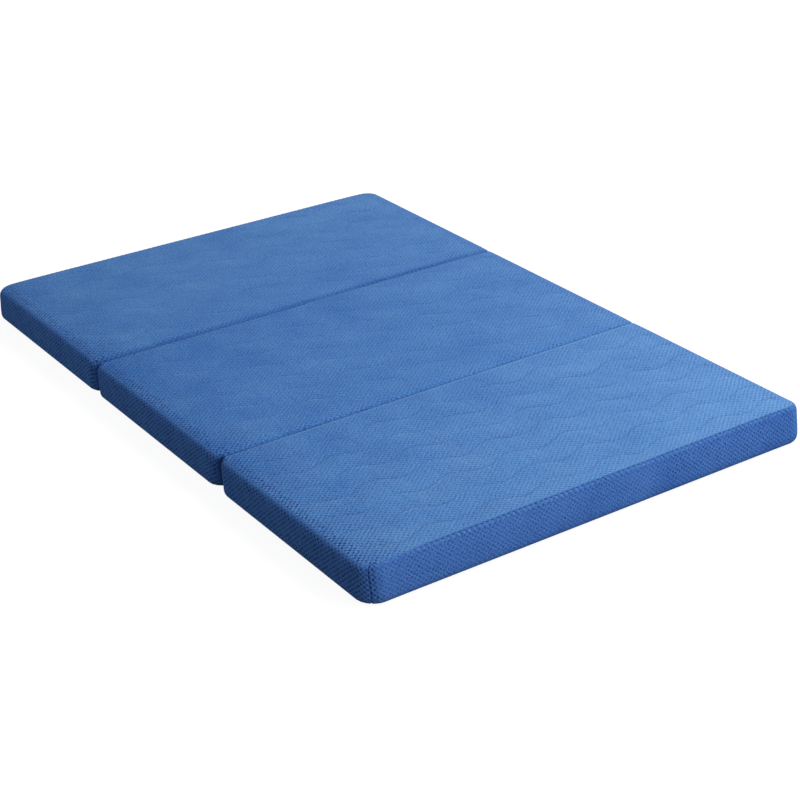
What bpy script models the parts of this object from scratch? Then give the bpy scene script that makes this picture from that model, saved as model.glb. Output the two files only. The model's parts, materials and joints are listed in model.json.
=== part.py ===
# Tri-fold mattress, laid out flat: three foam panels in quilted mesh covers, joined by two fabric
# hinges, each cover closed by a zip on the right long side.
# Metres, +Z up. X is the width, Y the length with the foot end at -Y. The origin is the middle of the
# middle panel's underside.

import math

import bmesh
import bpy
from mathutils import Matrix, Vector

MM = 0.001

# Mattress laid flat
MATTRESS_LENGTH = 965 * MM
MATTRESS_WIDTH = 660 * MM
MATTRESS_HEIGHT = 50 * MM  # at the crest of the quilted tops
TOP_CROWN = 3 * MM  # rise of a quilted top above its own seam
HINGE_SLIT = 2.4 * MM  # between the end faces of neighbouring panels
CORNER_RADIUS = 26 * MM  # of an open end, seen from above
HINGE_CORNER_TOP = 8 * MM  # of a hinged end, at the height of its top seam
UPPER_HINGE_CORNER_BASE = 16 * MM  # the same corner at the underside, where the slit opens
LOWER_HINGE_CORNER_BASE = 10 * MM
CORNER_LEAST = 1.5 * MM  # what the innermost rings keep of a tight corner

# Clearances
FIT_GAP = 0.3 * MM  # between pieces that touch
SEAM_GAP = 0.4 * MM  # between two covers, measured at their sewn edge
FOLD_CLEARANCE = 0.15 * MM  # from a panel's highest or lowest face to its fold axis

# Cover fabrics and filling
QUILT_THICKNESS = 4.5 * MM  # face knit, wadding and backing at the edge of a top
MESH_THICKNESS = 2.0 * MM  # spacer mesh of the boxing
BASE_THICKNESS = 2.0 * MM  # fabric of the underside

# Rounded edges of a panel: radius, and where the seam lies on the arc (0 at the flat, 90 at the wall)
OPEN_TOP_RADIUS = 10 * MM
OPEN_TOP_SEAM = 10
OPEN_BASE_RADIUS = 9 * MM
CREASE_TOP_RADIUS = 6 * MM  # top edge over the upper hinge
SLIT_TOP_RADIUS = 7 * MM  # top edge over the lower hinge
CREASE_TOP_SEAM = 65
CREASE_BASE_RADIUS = 4 * MM  # bottom edge at the lower hinge

# Quilting: wavy sewn rows across the width
WAVE_RISE = 6.75 * MM  # from a row's middle line to its crest
CHANNEL_DEPTH = 1.2 * MM
CHANNEL_MARGIN = 17 * MM  # least distance from a row's middle line to the end of the panel
STEPS_PER_WAVE = 6
CORNER_STATIONS = (0.45, 0.72, 0.88, 1.0)  # places along an open corner, as shares of its radius
RIM_STATION = 5 * MM  # from a panel's end to the first station inside it

# Each panel: distance between rows, a row's place from the panel's middle, the length of a wave and
# a crest's place across the width
QUILTING = {
    "foot": {"pitch": 39.2 * MM, "row": -2.8 * MM, "wave": 86 * MM, "crest": 41 * MM},
    "middle": {"pitch": 40.6 * MM, "row": 16.5 * MM, "wave": 90 * MM, "crest": 10 * MM},
    "head": {"pitch": 41.5 * MM, "row": 1 * MM, "wave": 90 * MM, "crest": 48 * MM},
}

# Fabric hinges, folded into the slits
STRIP_THICKNESS = 0.5 * MM
UPPER_STRIP_DEPTH = 6.6 * MM
LOWER_STRIP_DEPTH = 2.6 * MM
LOWER_STRIP_START = 1.2 * MM  # height of its lower edges above the floor

# Zip on the right side of each cover
ZIP_LENGTH = 230 * MM
ZIP_TAPE_WIDTH = 12 * MM
ZIP_TAPE_THICKNESS = 0.6 * MM
ZIP_CORD_WIDTH = 1.6 * MM  # woven edge that carries the teeth
ZIP_CORD_HEIGHT = 0.9 * MM
ZIP_TEETH_WIDTH = 4.0 * MM
ZIP_TEETH_HEIGHT = 1.5 * MM
ZIP_END_MARGIN = 6 * MM  # from the end of the tape to the slider

# Slider that runs on the teeth
SLIDER_LENGTH = 8.5 * MM
SLIDER_WALL = 0.8 * MM
SLIDER_LIP_THICKNESS = 0.6 * MM
SLIDER_PLATE_THICKNESS = 0.7 * MM
EAR_THICKNESS = 0.65 * MM
EAR_LENGTH = 2.2 * MM
PIN_RADIUS = 0.45 * MM

# Pull tab on the slider's pin
PULL_THICKNESS = 0.9 * MM
PULL_LENGTH = 20 * MM
PULL_WIDTH = 4.6 * MM
PULL_NECK_WIDTH = 1.2 * MM
PULL_NECK_LENGTH = 2.6 * MM
PULL_EYE_WALL = 0.5 * MM

ROUND_STEPS = 4  # facets of a quarter turn on a panel's edges
EYE_STEPS = 16  # facets of the pin and of the eye round it

PANEL_NAMES = ("foot", "middle", "head")
SLIT_COUNT = len(PANEL_NAMES) - 1
PANEL_LENGTH = (MATTRESS_LENGTH - SLIT_COUNT * HINGE_SLIT) / len(PANEL_NAMES)
PANEL_PITCH = PANEL_LENGTH + HINGE_SLIT
EDGE_HEIGHT = MATTRESS_HEIGHT - TOP_CROWN
UPPER_AXIS_HEIGHT = MATTRESS_HEIGHT + FOLD_CLEARANCE
LOWER_AXIS_HEIGHT = -FOLD_CLEARANCE
HALF_WIDTH = MATTRESS_WIDTH / 2

OPEN_EDGE = {
    "top_radius": OPEN_TOP_RADIUS,
    "top_seam": OPEN_TOP_SEAM,
    "base_radius": OPEN_BASE_RADIUS,
    "top_corner": CORNER_RADIUS,
    "base_corner": CORNER_RADIUS,
}
UPPER_HINGE_EDGE = {
    "top_radius": CREASE_TOP_RADIUS,
    "top_seam": CREASE_TOP_SEAM,
    "base_radius": OPEN_BASE_RADIUS,
    "top_corner": HINGE_CORNER_TOP,
    "base_corner": UPPER_HINGE_CORNER_BASE,
}
LOWER_HINGE_EDGE = {
    "top_radius": SLIT_TOP_RADIUS,
    "top_seam": CREASE_TOP_SEAM,
    "base_radius": CREASE_BASE_RADIUS,
    "top_corner": HINGE_CORNER_TOP,
    "base_corner": LOWER_HINGE_CORNER_BASE,
}
# The end nearer the foot, then the end nearer the head
PANEL_ENDS = {
    "foot": (OPEN_EDGE, UPPER_HINGE_EDGE),
    "middle": (UPPER_HINGE_EDGE, LOWER_HINGE_EDGE),
    "head": (LOWER_HINGE_EDGE, OPEN_EDGE),
}


# Materials

def make_material(name, colour, roughness, metallic=0.0):
    material = bpy.data.materials.new(name)
    material.use_nodes = True
    shader = material.node_tree.nodes["Principled BSDF"]
    shader.inputs["Base Color"].default_value = (*colour, 1.0)
    shader.inputs["Roughness"].default_value = roughness
    shader.inputs["Metallic"].default_value = metallic
    material.diffuse_color = (*colour, 1.0)
    return material


def make_materials():
    return {
        "quilted_top": make_material("quilted_mid_blue_knit", (0.062, 0.174, 0.462), 0.85),
        "boxing": make_material("mid_blue_spacer_mesh", (0.042, 0.125, 0.380), 0.85),
        "base": make_material("navy_base_fabric", (0.022, 0.045, 0.120), 0.9),
        "foam": make_material("white_foam", (0.80, 0.79, 0.72), 0.95),
        "hinge": make_material("blue_hinge_fabric", (0.045, 0.130, 0.380), 0.85),
        "tape": make_material("navy_zip_tape", (0.020, 0.050, 0.150), 0.8),
        "teeth": make_material("navy_nylon_zip_coil", (0.025, 0.060, 0.180), 0.45),
        "slider": make_material("painted_navy_slider", (0.030, 0.060, 0.160), 0.4, 0.3),
        "pull": make_material("painted_navy_pull_tab", (0.030, 0.060, 0.160), 0.4, 0.3),
    }


# Joint axes and pieces

def add_pivot(name, place, parent=None):
    """An empty on a joint's axis. It carries the pieces that turn or slide with it."""
    pivot = bpy.data.objects.new(name, None)
    pivot.empty_display_size = 0.02
    bpy.context.scene.collection.objects.link(pivot)
    pivot.parent = parent
    pivot.location = Vector(place) - (parent.matrix_world.translation if parent else Vector())
    bpy.context.view_layer.update()
    return pivot


def add_piece(name, points, faces, material, pivot=None, sharp_angle=35):
    """A mesh object from points in the mattress's frame, with its origin on its pivot."""
    mesh = bpy.data.meshes.new(name)
    mesh.from_pydata([tuple(point) for point in points], [], faces)
    piece = bpy.data.objects.new(name, mesh)
    bpy.context.scene.collection.objects.link(piece)
    piece.data.materials.append(material)
    if pivot:
        mesh.transform(Matrix.Translation(-pivot.matrix_world.translation))
        piece.parent = pivot
    tidy = bmesh.new()
    tidy.from_mesh(mesh)
    bmesh.ops.recalc_face_normals(tidy, faces=tidy.faces)
    tidy.to_mesh(mesh)
    tidy.free()
    mesh.shade_smooth()
    mesh.set_sharp_from_angle(angle=math.radians(sharp_angle))
    return piece


def add_bar(name, outline, axis, start, end, material, pivot=None):
    """A closed outline in the plane across an axis, drawn along that axis from start to end."""
    def corner(point, along):
        place = list(point)
        place.insert(axis, along)
        return place

    count = len(outline)
    points = [corner(point, start) for point in outline] + [corner(point, end) for point in outline]
    faces = [list(range(count)), list(range(2 * count - 1, count - 1, -1))]
    for i in range(count):
        j = (i + 1) % count
        faces.append([i, j, j + count, i + count])
    return add_piece(name, points, faces, material, pivot)


# Plan of a panel
#
# A place in the plan is given on a rectangle as large as the panel. A profile draws it in, by one
# inset for the long sides and one for the ends, and then the square corner is made round. Heights
# blend from the side's profile to the end's as the corner turns.

def panel_middle(panel):
    return (PANEL_NAMES.index(panel) - SLIT_COUNT / 2) * PANEL_PITCH


def end_edge(panel, y):
    return PANEL_ENDS[panel][0 if y < 0 else 1]


def corner_radius(panel, y, height):
    """Radius of the corners at this end of a panel. A hinged end's corners narrow towards the top."""
    edge = end_edge(panel, y)
    rise = min(1.0, height / EDGE_HEIGHT)
    return edge["base_corner"] + (edge["top_corner"] - edge["base_corner"]) * rise


def drawn_in(place, half, inset):
    """A place moved in with the rim, which narrows the band along it."""
    core = half - CORNER_RADIUS
    beyond = max(0.0, abs(place) - core)
    return math.copysign(min(abs(place), core) + beyond * (1 - inset / CORNER_RADIUS), place)


def plan_point(panel, place, side_inset, end_inset, height):
    """Where a place lies once drawn in and rounded, and its direction from the corner's middle."""
    radius = corner_radius(panel, place[1], height)
    radius_x = max(radius - side_inset, CORNER_LEAST)
    radius_y = max(radius - end_inset, CORNER_LEAST)
    core_x = HALF_WIDTH - side_inset - radius_x
    core_y = PANEL_LENGTH / 2 - end_inset - radius_y
    x = drawn_in(place[0], HALF_WIDTH, side_inset)
    y = drawn_in(place[1], PANEL_LENGTH / 2, end_inset)
    base_x = max(-core_x, min(core_x, x))
    base_y = max(-core_y, min(core_y, y))
    a = (x - base_x) / radius_x
    b = (y - base_y) / radius_y
    turned_a = a * math.sqrt(1 - b * b / 2)
    turned_b = b * math.sqrt(1 - a * a / 2)
    return base_x + radius_x * turned_a, base_y + radius_y * turned_b, turned_a, turned_b


def edge_point(panel, station, side, end):
    """The point of an edge profile at a station: side and end are (inset, height) pairs."""
    x, y, a, b = plan_point(panel, station, side[0], end[0], (side[1] + end[1]) / 2)
    z = (a * a * side[1] + b * b * end[1]) / (a * a + b * b)
    return x, panel_middle(panel) + y, z


def spread(reach, step):
    """Stations from -reach to reach, no further apart than a step."""
    count = math.ceil(2 * reach / step)
    return [-reach + 2 * reach * i / count for i in range(count + 1)]


def corner_places(half):
    core = half - CORNER_RADIUS
    return [core + share * CORNER_RADIUS for share in CORNER_STATIONS]


def across_stations(panel):
    """Stations across the width, close enough to follow the waves."""
    corner = corner_places(HALF_WIDTH)
    middle = spread(HALF_WIDTH - CORNER_RADIUS, QUILTING[panel]["wave"] / STEPS_PER_WAVE)
    return [-place for place in reversed(corner)] + middle + corner


def channel_rows(panel):
    """Middle lines of the sewn rows, from the panel's middle."""
    quilting = QUILTING[panel]
    reach = PANEL_LENGTH / 2 - CHANNEL_MARGIN
    first = math.ceil((-reach - quilting["row"]) / quilting["pitch"])
    last = math.floor((reach - quilting["row"]) / quilting["pitch"])
    return [quilting["row"] + k * quilting["pitch"] for k in range(first, last + 1)]


def along_stations(panel):
    """Stations along the length as (place, channel share): the sewn rows and the puffs between them."""
    half = PANEL_LENGTH / 2
    rim = half - RIM_STATION
    rows = channel_rows(panel)
    stations = [(-half, 0.0), (-rim, 0.0), ((rows[0] - half) / 2, 0.0)]
    for row, after in zip(rows, rows[1:]):
        stations += [(row, 1.0), ((row + after) / 2, 0.0)]
    stations += [(rows[-1], 1.0), ((rows[-1] + half) / 2, 0.0), (rim, 0.0), (half, 0.0)]
    return stations


def outline_stations(panel, across):
    """Stations once round a panel's plan, anticlockwise from its front left corner."""
    half = PANEL_LENGTH / 2
    along = [place for place, _ in along_stations(panel)]
    front = [(x, -half) for x in across[:-1]]
    right = [(HALF_WIDTH, y) for y in along[:-1]]
    back = [(x, half) for x in reversed(across[1:])]
    left = [(-HALF_WIDTH, y) for y in reversed(along[1:])]
    return front + right + back + left


def plain_outline(panel):
    """The same outline without the stations between the corners of a straight edge."""
    core_x = HALF_WIDTH - CORNER_RADIUS
    core_y = PANEL_LENGTH / 2 - CORNER_RADIUS
    across = [x for x in across_stations(panel) if abs(x) >= core_x - FIT_GAP]
    outline = outline_stations(panel, across)
    corners = [(x, y) for x, y in outline if abs(x) < HALF_WIDTH or abs(y) > core_y]
    ends = {(sx * HALF_WIDTH, sy * core_y) for sx in (-1, 1) for sy in (-1, 1)}
    return sorted(set(corners) | ends, key=lambda station: math.atan2(station[1], station[0]))


def ring_points(panel, stations, profile):
    """Points of a profile carried round the outline, as one row for each station."""
    rows = []
    for station in stations:
        side = profile(OPEN_EDGE)
        end = profile(end_edge(panel, station[1]))
        rows.append([edge_point(panel, station, s, e) for s, e in zip(side, end)])
    return rows


def bridge(first, second, count):
    """Faces between two closed rows of points that start at these indices."""
    faces = []
    for i in range(count):
        j = (i + 1) % count
        faces.append([first + i, first + j, second + j, second + i])
    return faces


# Edge profiles, as (inset, height) pairs

def arc_point(radius, angle, centre_height, upward):
    """A point on a rounded edge, at an angle counted from the flat towards the wall."""
    turn = math.radians(angle)
    return -radius * math.sin(turn), centre_height + upward * radius * math.cos(turn)


def top_arc(edge, radius, angle):
    inset, height = arc_point(radius, angle, EDGE_HEIGHT - edge["top_radius"], 1)
    return edge["top_radius"] + inset, height


def base_arc(edge, radius, angle):
    inset, height = arc_point(radius, angle, edge["base_radius"], -1)
    return edge["base_radius"] + inset, height


def top_cover_profile(edge):
    """From the rim of the quilted face, over the rounded edge to the seam, then in to the underside."""
    radius = edge["top_radius"]
    inner = max(radius - QUILT_THICKNESS, FIT_GAP)
    seam = math.radians(edge["top_seam"])
    underside = EDGE_HEIGHT - QUILT_THICKNESS
    return [
        top_arc(edge, radius, edge["top_seam"] / 2),
        top_arc(edge, radius, edge["top_seam"]),
        (radius - inner * math.sin(seam), underside - inner * (1 - math.cos(seam))),
        (radius, underside),
    ]


def boxing_profile(edge):
    """From the top seam, down the outside to the base seam, and back up the inside."""
    radius = edge["top_radius"]
    start = edge["top_seam"] + math.degrees(SEAM_GAP / radius)
    base = edge["base_radius"]
    top_angles = [start + (90 - start) * i / ROUND_STEPS for i in range(ROUND_STEPS + 1)]
    base_angles = [90 - 90 * i / ROUND_STEPS for i in range(ROUND_STEPS + 1)]
    outside = [top_arc(edge, radius, angle) for angle in top_angles]
    outside += [base_arc(edge, base, angle) for angle in base_angles]
    inside = [base_arc(edge, base - MESH_THICKNESS, angle) for angle in reversed(base_angles)]
    inside += [top_arc(edge, radius - MESH_THICKNESS, angle) for angle in reversed(top_angles)]
    return outside + inside


def foam_profile(edge):
    """From the base, out to the wall and in again to the top, with eased edges."""
    wall = MESH_THICKNESS + FIT_GAP
    floor = BASE_THICKNESS + FIT_GAP
    ceiling = EDGE_HEIGHT - QUILT_THICKNESS - FIT_GAP
    return [
        (edge["base_radius"], floor),
        (wall, edge["base_radius"]),
        (wall, EDGE_HEIGHT - OPEN_TOP_RADIUS),
        (edge["top_radius"], ceiling),
    ]


def base_profile(edge):
    inset = edge["base_radius"] + FIT_GAP
    return [(inset, 0.0), (inset, BASE_THICKNESS)]


# Pieces of a panel

def lofted_block(name, panel, profile, material, pivot):
    """A solid whose outline follows a profile, closed by a flat face below and above."""
    stations = plain_outline(panel)
    rows = ring_points(panel, stations, profile)
    count = len(stations)
    levels = len(rows[0])
    points = [rows[i][k] for k in range(levels) for i in range(count)]
    faces = [list(range(count)), list(range((levels - 1) * count, levels * count))]
    for k in range(levels - 1):
        faces += bridge(k * count, (k + 1) * count, count)
    return add_piece(name, points, faces, material, pivot)


def add_boxing(panel, material, pivot):
    """The mesh band round a panel, with the slot that its zip closes."""
    stations = plain_outline(panel)
    rows = ring_points(panel, stations, boxing_profile)
    count = len(stations)
    levels = len(rows[0])
    points = [rows[i][k] for k in range(levels) for i in range(count)]
    faces = []
    for k in range(levels):
        faces += bridge(k * count, (k + 1) % levels * count, count)
    boxing = add_piece(f"{panel}_boxing", points, faces, material, pivot)

    middle = panel_middle(panel)
    low = zip_height() - ZIP_TAPE_WIDTH / 2 - FIT_GAP
    high = zip_height() + ZIP_TAPE_WIDTH / 2 + FIT_GAP
    inside = HALF_WIDTH - 2 * MESH_THICKNESS
    outside = HALF_WIDTH + MESH_THICKNESS
    section = [(inside, low), (outside, low), (outside, high), (inside, high)]
    start = middle - ZIP_LENGTH / 2 - FIT_GAP
    end = middle + ZIP_LENGTH / 2 + FIT_GAP
    cutter = add_bar(f"{panel}_zip_slot_cutter", section, 1, start, end, material, pivot)
    cutter.hide_render = True
    cutter.display_type = "WIRE"
    slot = boxing.modifiers.new("zip_slot", "BOOLEAN")
    slot.operation = "DIFFERENCE"
    slot.object = cutter
    return boxing


def top_height(x, y, channel):
    """Height of the quilted face: a crown that falls to the rim, sewn down along the channels."""
    across = abs(x) / HALF_WIDTH
    along = abs(y) / (PANEL_LENGTH / 2)
    crown = TOP_CROWN * (1 - across**6) * (1 - along**4)
    rim = min(HALF_WIDTH - abs(x), PANEL_LENGTH / 2 - abs(y)) / CORNER_RADIUS
    return EDGE_HEIGHT + crown - channel * CHANNEL_DEPTH * min(1.0, max(0.0, rim))


def wave_shift(panel, x, y):
    """How far a row is displaced at x to follow the wave. It dies out towards the rim."""
    quilting = QUILTING[panel]
    fade_x = min(1.0, (HALF_WIDTH - abs(x)) / CORNER_RADIUS)
    fade_y = min(1.0, (PANEL_LENGTH / 2 - abs(y)) / CHANNEL_MARGIN)
    phase = 2 * math.pi * (x - quilting["crest"]) / quilting["wave"]
    return WAVE_RISE * fade_x * fade_y * math.cos(phase)


def add_top_cover(panel, material, pivot):
    """The quilted top: a grid that follows the sewn waves, a rounded rim and a flat underside."""
    across = across_stations(panel)
    along = along_stations(panel)
    end_x = len(across) - 1
    end_y = len(along) - 1
    points = []
    for j, (row, channel) in enumerate(along):
        for i, x in enumerate(across):
            y = row
            if 0 < i < end_x and 0 < j < end_y:
                y += wave_shift(panel, x, row)
            side_inset = OPEN_EDGE["top_radius"]
            end_inset = end_edge(panel, y)["top_radius"]
            plan_x, plan_y, _, _ = plan_point(panel, (x, y), side_inset, end_inset, EDGE_HEIGHT)
            points.append((plan_x, panel_middle(panel) + plan_y, top_height(x, y, channel)))
    wide = len(across)
    faces = []
    for j in range(end_y):
        for i in range(end_x):
            corner = j * wide + i
            faces.append([corner, corner + 1, corner + 1 + wide, corner + wide])

    stations = outline_stations(panel, across)
    rim = list(range(end_x))
    rim += [j * wide + end_x for j in range(end_y)]
    rim += [end_y * wide + i for i in range(end_x, 0, -1)]
    rim += [j * wide for j in range(end_y, 0, -1)]
    rows = ring_points(panel, stations, top_cover_profile)
    count = len(stations)
    levels = len(rows[0])
    start = len(points)
    points += [rows[i][k] for k in range(levels) for i in range(count)]
    for i in range(count):
        j = (i + 1) % count
        faces.append([rim[i], rim[j], start + j, start + i])
    for k in range(levels - 1):
        faces += bridge(start + k * count, start + (k + 1) * count, count)
    faces.append(list(range(start + (levels - 1) * count, start + levels * count)))
    return add_piece(f"{panel}_top_cover", points, faces, material, pivot, sharp_angle=50)


# Fabric hinges

def add_hinge_strip(name, y, closed, opened, material):
    """A strip folded in two inside a slit: closed is the height of its fold, opened that of its edges."""
    reach = HALF_WIDTH - corner_radius("middle", y, min(closed, opened))
    half = HINGE_SLIT / 2 - FIT_GAP
    inner = half - STRIP_THICKNESS
    web = closed + math.copysign(STRIP_THICKNESS, opened - closed)
    outline = [
        (y - half, opened),
        (y - half, closed),
        (y + half, closed),
        (y + half, opened),
        (y + inner, opened),
        (y + inner, web),
        (y - inner, web),
        (y - inner, opened),
    ]
    return add_bar(name, outline, 0, -reach, reach, material)


# Zip

def zip_height():
    """Middle of the flat part of the wall."""
    return (OPEN_BASE_RADIUS + EDGE_HEIGHT - OPEN_TOP_RADIUS) / 2


def zip_levels():
    """Faces of the zip, as distances from the mattress's middle plane."""
    tape_inside = HALF_WIDTH - MESH_THICKNESS
    tape_outside = tape_inside + ZIP_TAPE_THICKNESS
    cord = tape_outside + ZIP_CORD_HEIGHT
    teeth = cord + FIT_GAP
    return tape_inside, tape_outside, cord, teeth, teeth + ZIP_TEETH_HEIGHT


def slider_rest(panel):
    """The slider's middle when the zip is closed."""
    return panel_middle(panel) + ZIP_LENGTH / 2 - ZIP_END_MARGIN - SLIDER_LENGTH / 2


def slider_travel():
    return ZIP_LENGTH - 2 * ZIP_END_MARGIN - SLIDER_LENGTH


def slider_top():
    return zip_levels()[4] + FIT_GAP + SLIDER_PLATE_THICKNESS


def eye_radius():
    return PIN_RADIUS + FIT_GAP + PULL_EYE_WALL


def pin_place(panel):
    """Axis of the pull: across the slider, just clear of its plate."""
    return slider_top() + FIT_GAP + eye_radius(), slider_rest(panel), zip_height()


def add_zip_tape(panel, material, pivot):
    """The woven tape, with the thick cord along its middle that carries the teeth."""
    inside, outside, cord, _, _ = zip_levels()
    low = zip_height() - ZIP_TAPE_WIDTH / 2
    high = zip_height() + ZIP_TAPE_WIDTH / 2
    root_low = zip_height() - ZIP_CORD_WIDTH / 2
    root_high = zip_height() + ZIP_CORD_WIDTH / 2
    outline = [
        (inside, low),
        (outside, low),
        (outside, root_low),
        (cord, root_low),
        (cord, root_high),
        (outside, root_high),
        (outside, high),
        (inside, high),
    ]
    middle = panel_middle(panel)
    return add_bar(
        f"{panel}_zip_tape", outline, 1, middle - ZIP_LENGTH / 2, middle + ZIP_LENGTH / 2, material, pivot
    )


def add_zip_teeth(panel, material, pivot):
    """The closed row of teeth, with its corners taken off."""
    _, _, _, low, high = zip_levels()
    half = ZIP_TEETH_WIDTH / 2
    ease = ZIP_TEETH_HEIGHT / 3
    middle = zip_height()
    outline = [
        (low, middle - half),
        (high - ease, middle - half),
        (high, middle - half + ease),
        (high, middle + half - ease),
        (high - ease, middle + half),
        (low, middle + half),
    ]
    centre = panel_middle(panel)
    reach = ZIP_LENGTH / 2 - FIT_GAP
    return add_bar(f"{panel}_zip_teeth", outline, 1, centre - reach, centre + reach, material, pivot)


def union(piece, others):
    """Joins simple bodies to a piece and removes them."""
    for other in others:
        joined = piece.modifiers.new("joined", "BOOLEAN")
        joined.operation = "UNION"
        joined.object = other
    bpy.context.view_layer.update()
    graph = bpy.context.evaluated_depsgraph_get()
    mesh = bpy.data.meshes.new_from_object(piece.evaluated_get(graph))
    piece.modifiers.clear()
    piece.data = mesh
    for other in others:
        bpy.data.objects.remove(other)
    return piece


def add_slider(panel, material, pivot):
    """A channel that grips the teeth from both sides, with two ears and a pin on its plate."""
    _, tape, cord, _, teeth_top = zip_levels()
    middle = zip_height()
    inner = ZIP_TEETH_WIDTH / 2 + FIT_GAP
    outer = inner + SLIDER_WALL
    lip = ZIP_CORD_WIDTH / 2 + FIT_GAP
    lip_low = tape + FIT_GAP
    lip_high = min(lip_low + SLIDER_LIP_THICKNESS, cord)
    ceiling = teeth_top + FIT_GAP
    half_section = [
        (lip_low, lip),
        (lip_low, outer),
        (slider_top(), outer),
    ]
    inside_section = [
        (ceiling, inner),
        (lip_high, inner),
        (lip_high, lip),
    ]
    outline = [(h, middle + w) for h, w in half_section]
    outline += [(h, middle - w) for h, w in reversed(half_section)]
    outline += [(h, middle - w) for h, w in reversed(inside_section)]
    outline += [(h, middle + w) for h, w in inside_section]
    rest = slider_rest(panel)
    half = SLIDER_LENGTH / 2
    body = add_bar(f"{panel}_zip_slider", outline, 1, rest - half, rest + half, material, pivot)

    pin_x, pin_y, _ = pin_place(panel)
    ear_inside = PULL_NECK_WIDTH / 2 + FIT_GAP
    ear_outside = ear_inside + EAR_THICKNESS
    ear_top = pin_x + PIN_RADIUS + EAR_THICKNESS
    ear_foot = slider_top() - SLIDER_PLATE_THICKNESS / 2
    ear = [
        (ear_foot, pin_y - EAR_LENGTH / 2),
        (ear_top - EAR_LENGTH / 4, pin_y - EAR_LENGTH / 2),
        (ear_top, pin_y - EAR_LENGTH / 4),
        (ear_top, pin_y + EAR_LENGTH / 4),
        (ear_top - EAR_LENGTH / 4, pin_y + EAR_LENGTH / 2),
        (ear_foot, pin_y + EAR_LENGTH / 2),
    ]
    parts = []
    for side in (-1, 1):
        start = middle + side * ear_inside
        end = middle + side * ear_outside
        parts.append(add_bar("ear", ear, 2, min(start, end), max(start, end), material, pivot))
    pin = [
        (
            pin_x + PIN_RADIUS * math.cos(2 * math.pi * i / EYE_STEPS),
            pin_y + PIN_RADIUS * math.sin(2 * math.pi * i / EYE_STEPS),
        )
        for i in range(EYE_STEPS)
    ]
    reach = ear_inside + EAR_THICKNESS / 2
    parts.append(add_bar("pin", pin, 2, middle - reach, middle + reach, material, pivot))
    return union(body, parts)


def add_pull(panel, material, pivot):
    """A flat tab on a narrow neck, with an eye round the slider's pin."""
    pin_x, pin_y, middle = pin_place(panel)
    outer = eye_radius()
    thick = PULL_THICKNESS / 2
    neck = PULL_NECK_WIDTH / 2
    start = math.asin(thick / outer)
    turn = 2 * math.pi - 2 * start
    section = [(pin_x + thick, pin_y - PULL_NECK_LENGTH), (pin_x - thick, pin_y - PULL_NECK_LENGTH)]
    for i in range(EYE_STEPS + 1):
        angle = math.pi + start + turn * i / EYE_STEPS
        section.append((pin_x + outer * math.sin(angle), pin_y + outer * math.cos(angle)))
    eye = add_bar(f"{panel}_zip_pull", section, 2, middle - neck, middle + neck, material, pivot)

    bore_radius = PIN_RADIUS + FIT_GAP
    bore = [
        (
            pin_x + bore_radius * math.cos(2 * math.pi * i / EYE_STEPS),
            pin_y + bore_radius * math.sin(2 * math.pi * i / EYE_STEPS),
        )
        for i in range(EYE_STEPS)
    ]
    cutter = add_bar(f"{panel}_pull_eye_cutter", bore, 2, middle - 2 * neck, middle + 2 * neck, material, pivot)
    cutter.hide_render = True
    cutter.display_type = "WIRE"

    half = PULL_WIDTH / 2
    near = pin_y - PULL_NECK_LENGTH + FIT_GAP
    far = pin_y - PULL_LENGTH
    tab = [
        (near, middle - neck),
        (near, middle + neck),
        (near - half, middle + half),
        (far + half / 2, middle + half),
        (far, middle + half / 2),
        (far, middle - half / 2),
        (far + half / 2, middle - half),
        (near - half, middle - half),
    ]
    blade = add_bar("blade", tab, 0, pin_x - thick, pin_x + thick, material, pivot)
    pull = union(eye, [blade])
    hole = pull.modifiers.new("eye", "BOOLEAN")
    hole.operation = "DIFFERENCE"
    hole.object = cutter
    return pull


# Assembly

def add_panel(panel, materials, pivot):
    lofted_block(f"{panel}_foam_core", panel, foam_profile, materials["foam"], pivot)
    lofted_block(f"{panel}_base_cover", panel, base_profile, materials["base"], pivot)
    add_boxing(panel, materials["boxing"], pivot)
    add_top_cover(panel, materials["quilted_top"], pivot)
    add_zip_tape(panel, materials["tape"], pivot)
    add_zip_teeth(panel, materials["teeth"], pivot)
    slide_place = (slider_top(), slider_rest(panel), zip_height())
    slide = add_pivot(f"{panel}_zip_slide_axis", slide_place, pivot)
    add_slider(panel, materials["slider"], slide)
    swing = add_pivot(f"{panel}_zip_pull_axis", pin_place(panel), slide)
    add_pull(panel, materials["pull"], swing)


def main():
    for leftover in list(bpy.data.objects):
        bpy.data.objects.remove(leftover)
    materials = make_materials()

    upper_hinge = -PANEL_PITCH / 2
    lower_hinge = PANEL_PITCH / 2
    foot_axis = add_pivot("foot_fold_axis", (0, upper_hinge, UPPER_AXIS_HEIGHT))
    head_axis = add_pivot("head_fold_axis", (0, lower_hinge, LOWER_AXIS_HEIGHT))
    add_panel("foot", materials, foot_axis)
    add_panel("middle", materials, None)
    add_panel("head", materials, head_axis)

    seam_height = top_arc(UPPER_HINGE_EDGE, CREASE_TOP_RADIUS, CREASE_TOP_SEAM)[1]
    upper_fold = seam_height - UPPER_STRIP_DEPTH
    add_hinge_strip("upper_hinge_strip", upper_hinge, upper_fold, seam_height, materials["hinge"])
    lower_fold = LOWER_STRIP_START + LOWER_STRIP_DEPTH
    add_hinge_strip("lower_hinge_strip", lower_hinge, lower_fold, LOWER_STRIP_START, materials["hinge"])
    bpy.context.view_layer.update()


main()
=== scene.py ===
# Tri-fold mattress for a travel cot, laid out flat: three foam panels in quilted air-mesh covers, two
# fabric hinges between them, and a zip on the right side of each cover.
# X is the width, Y the length with the head end at +Y, Z up. Sizes are metres; the weave's are mm.

import json
import math

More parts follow.
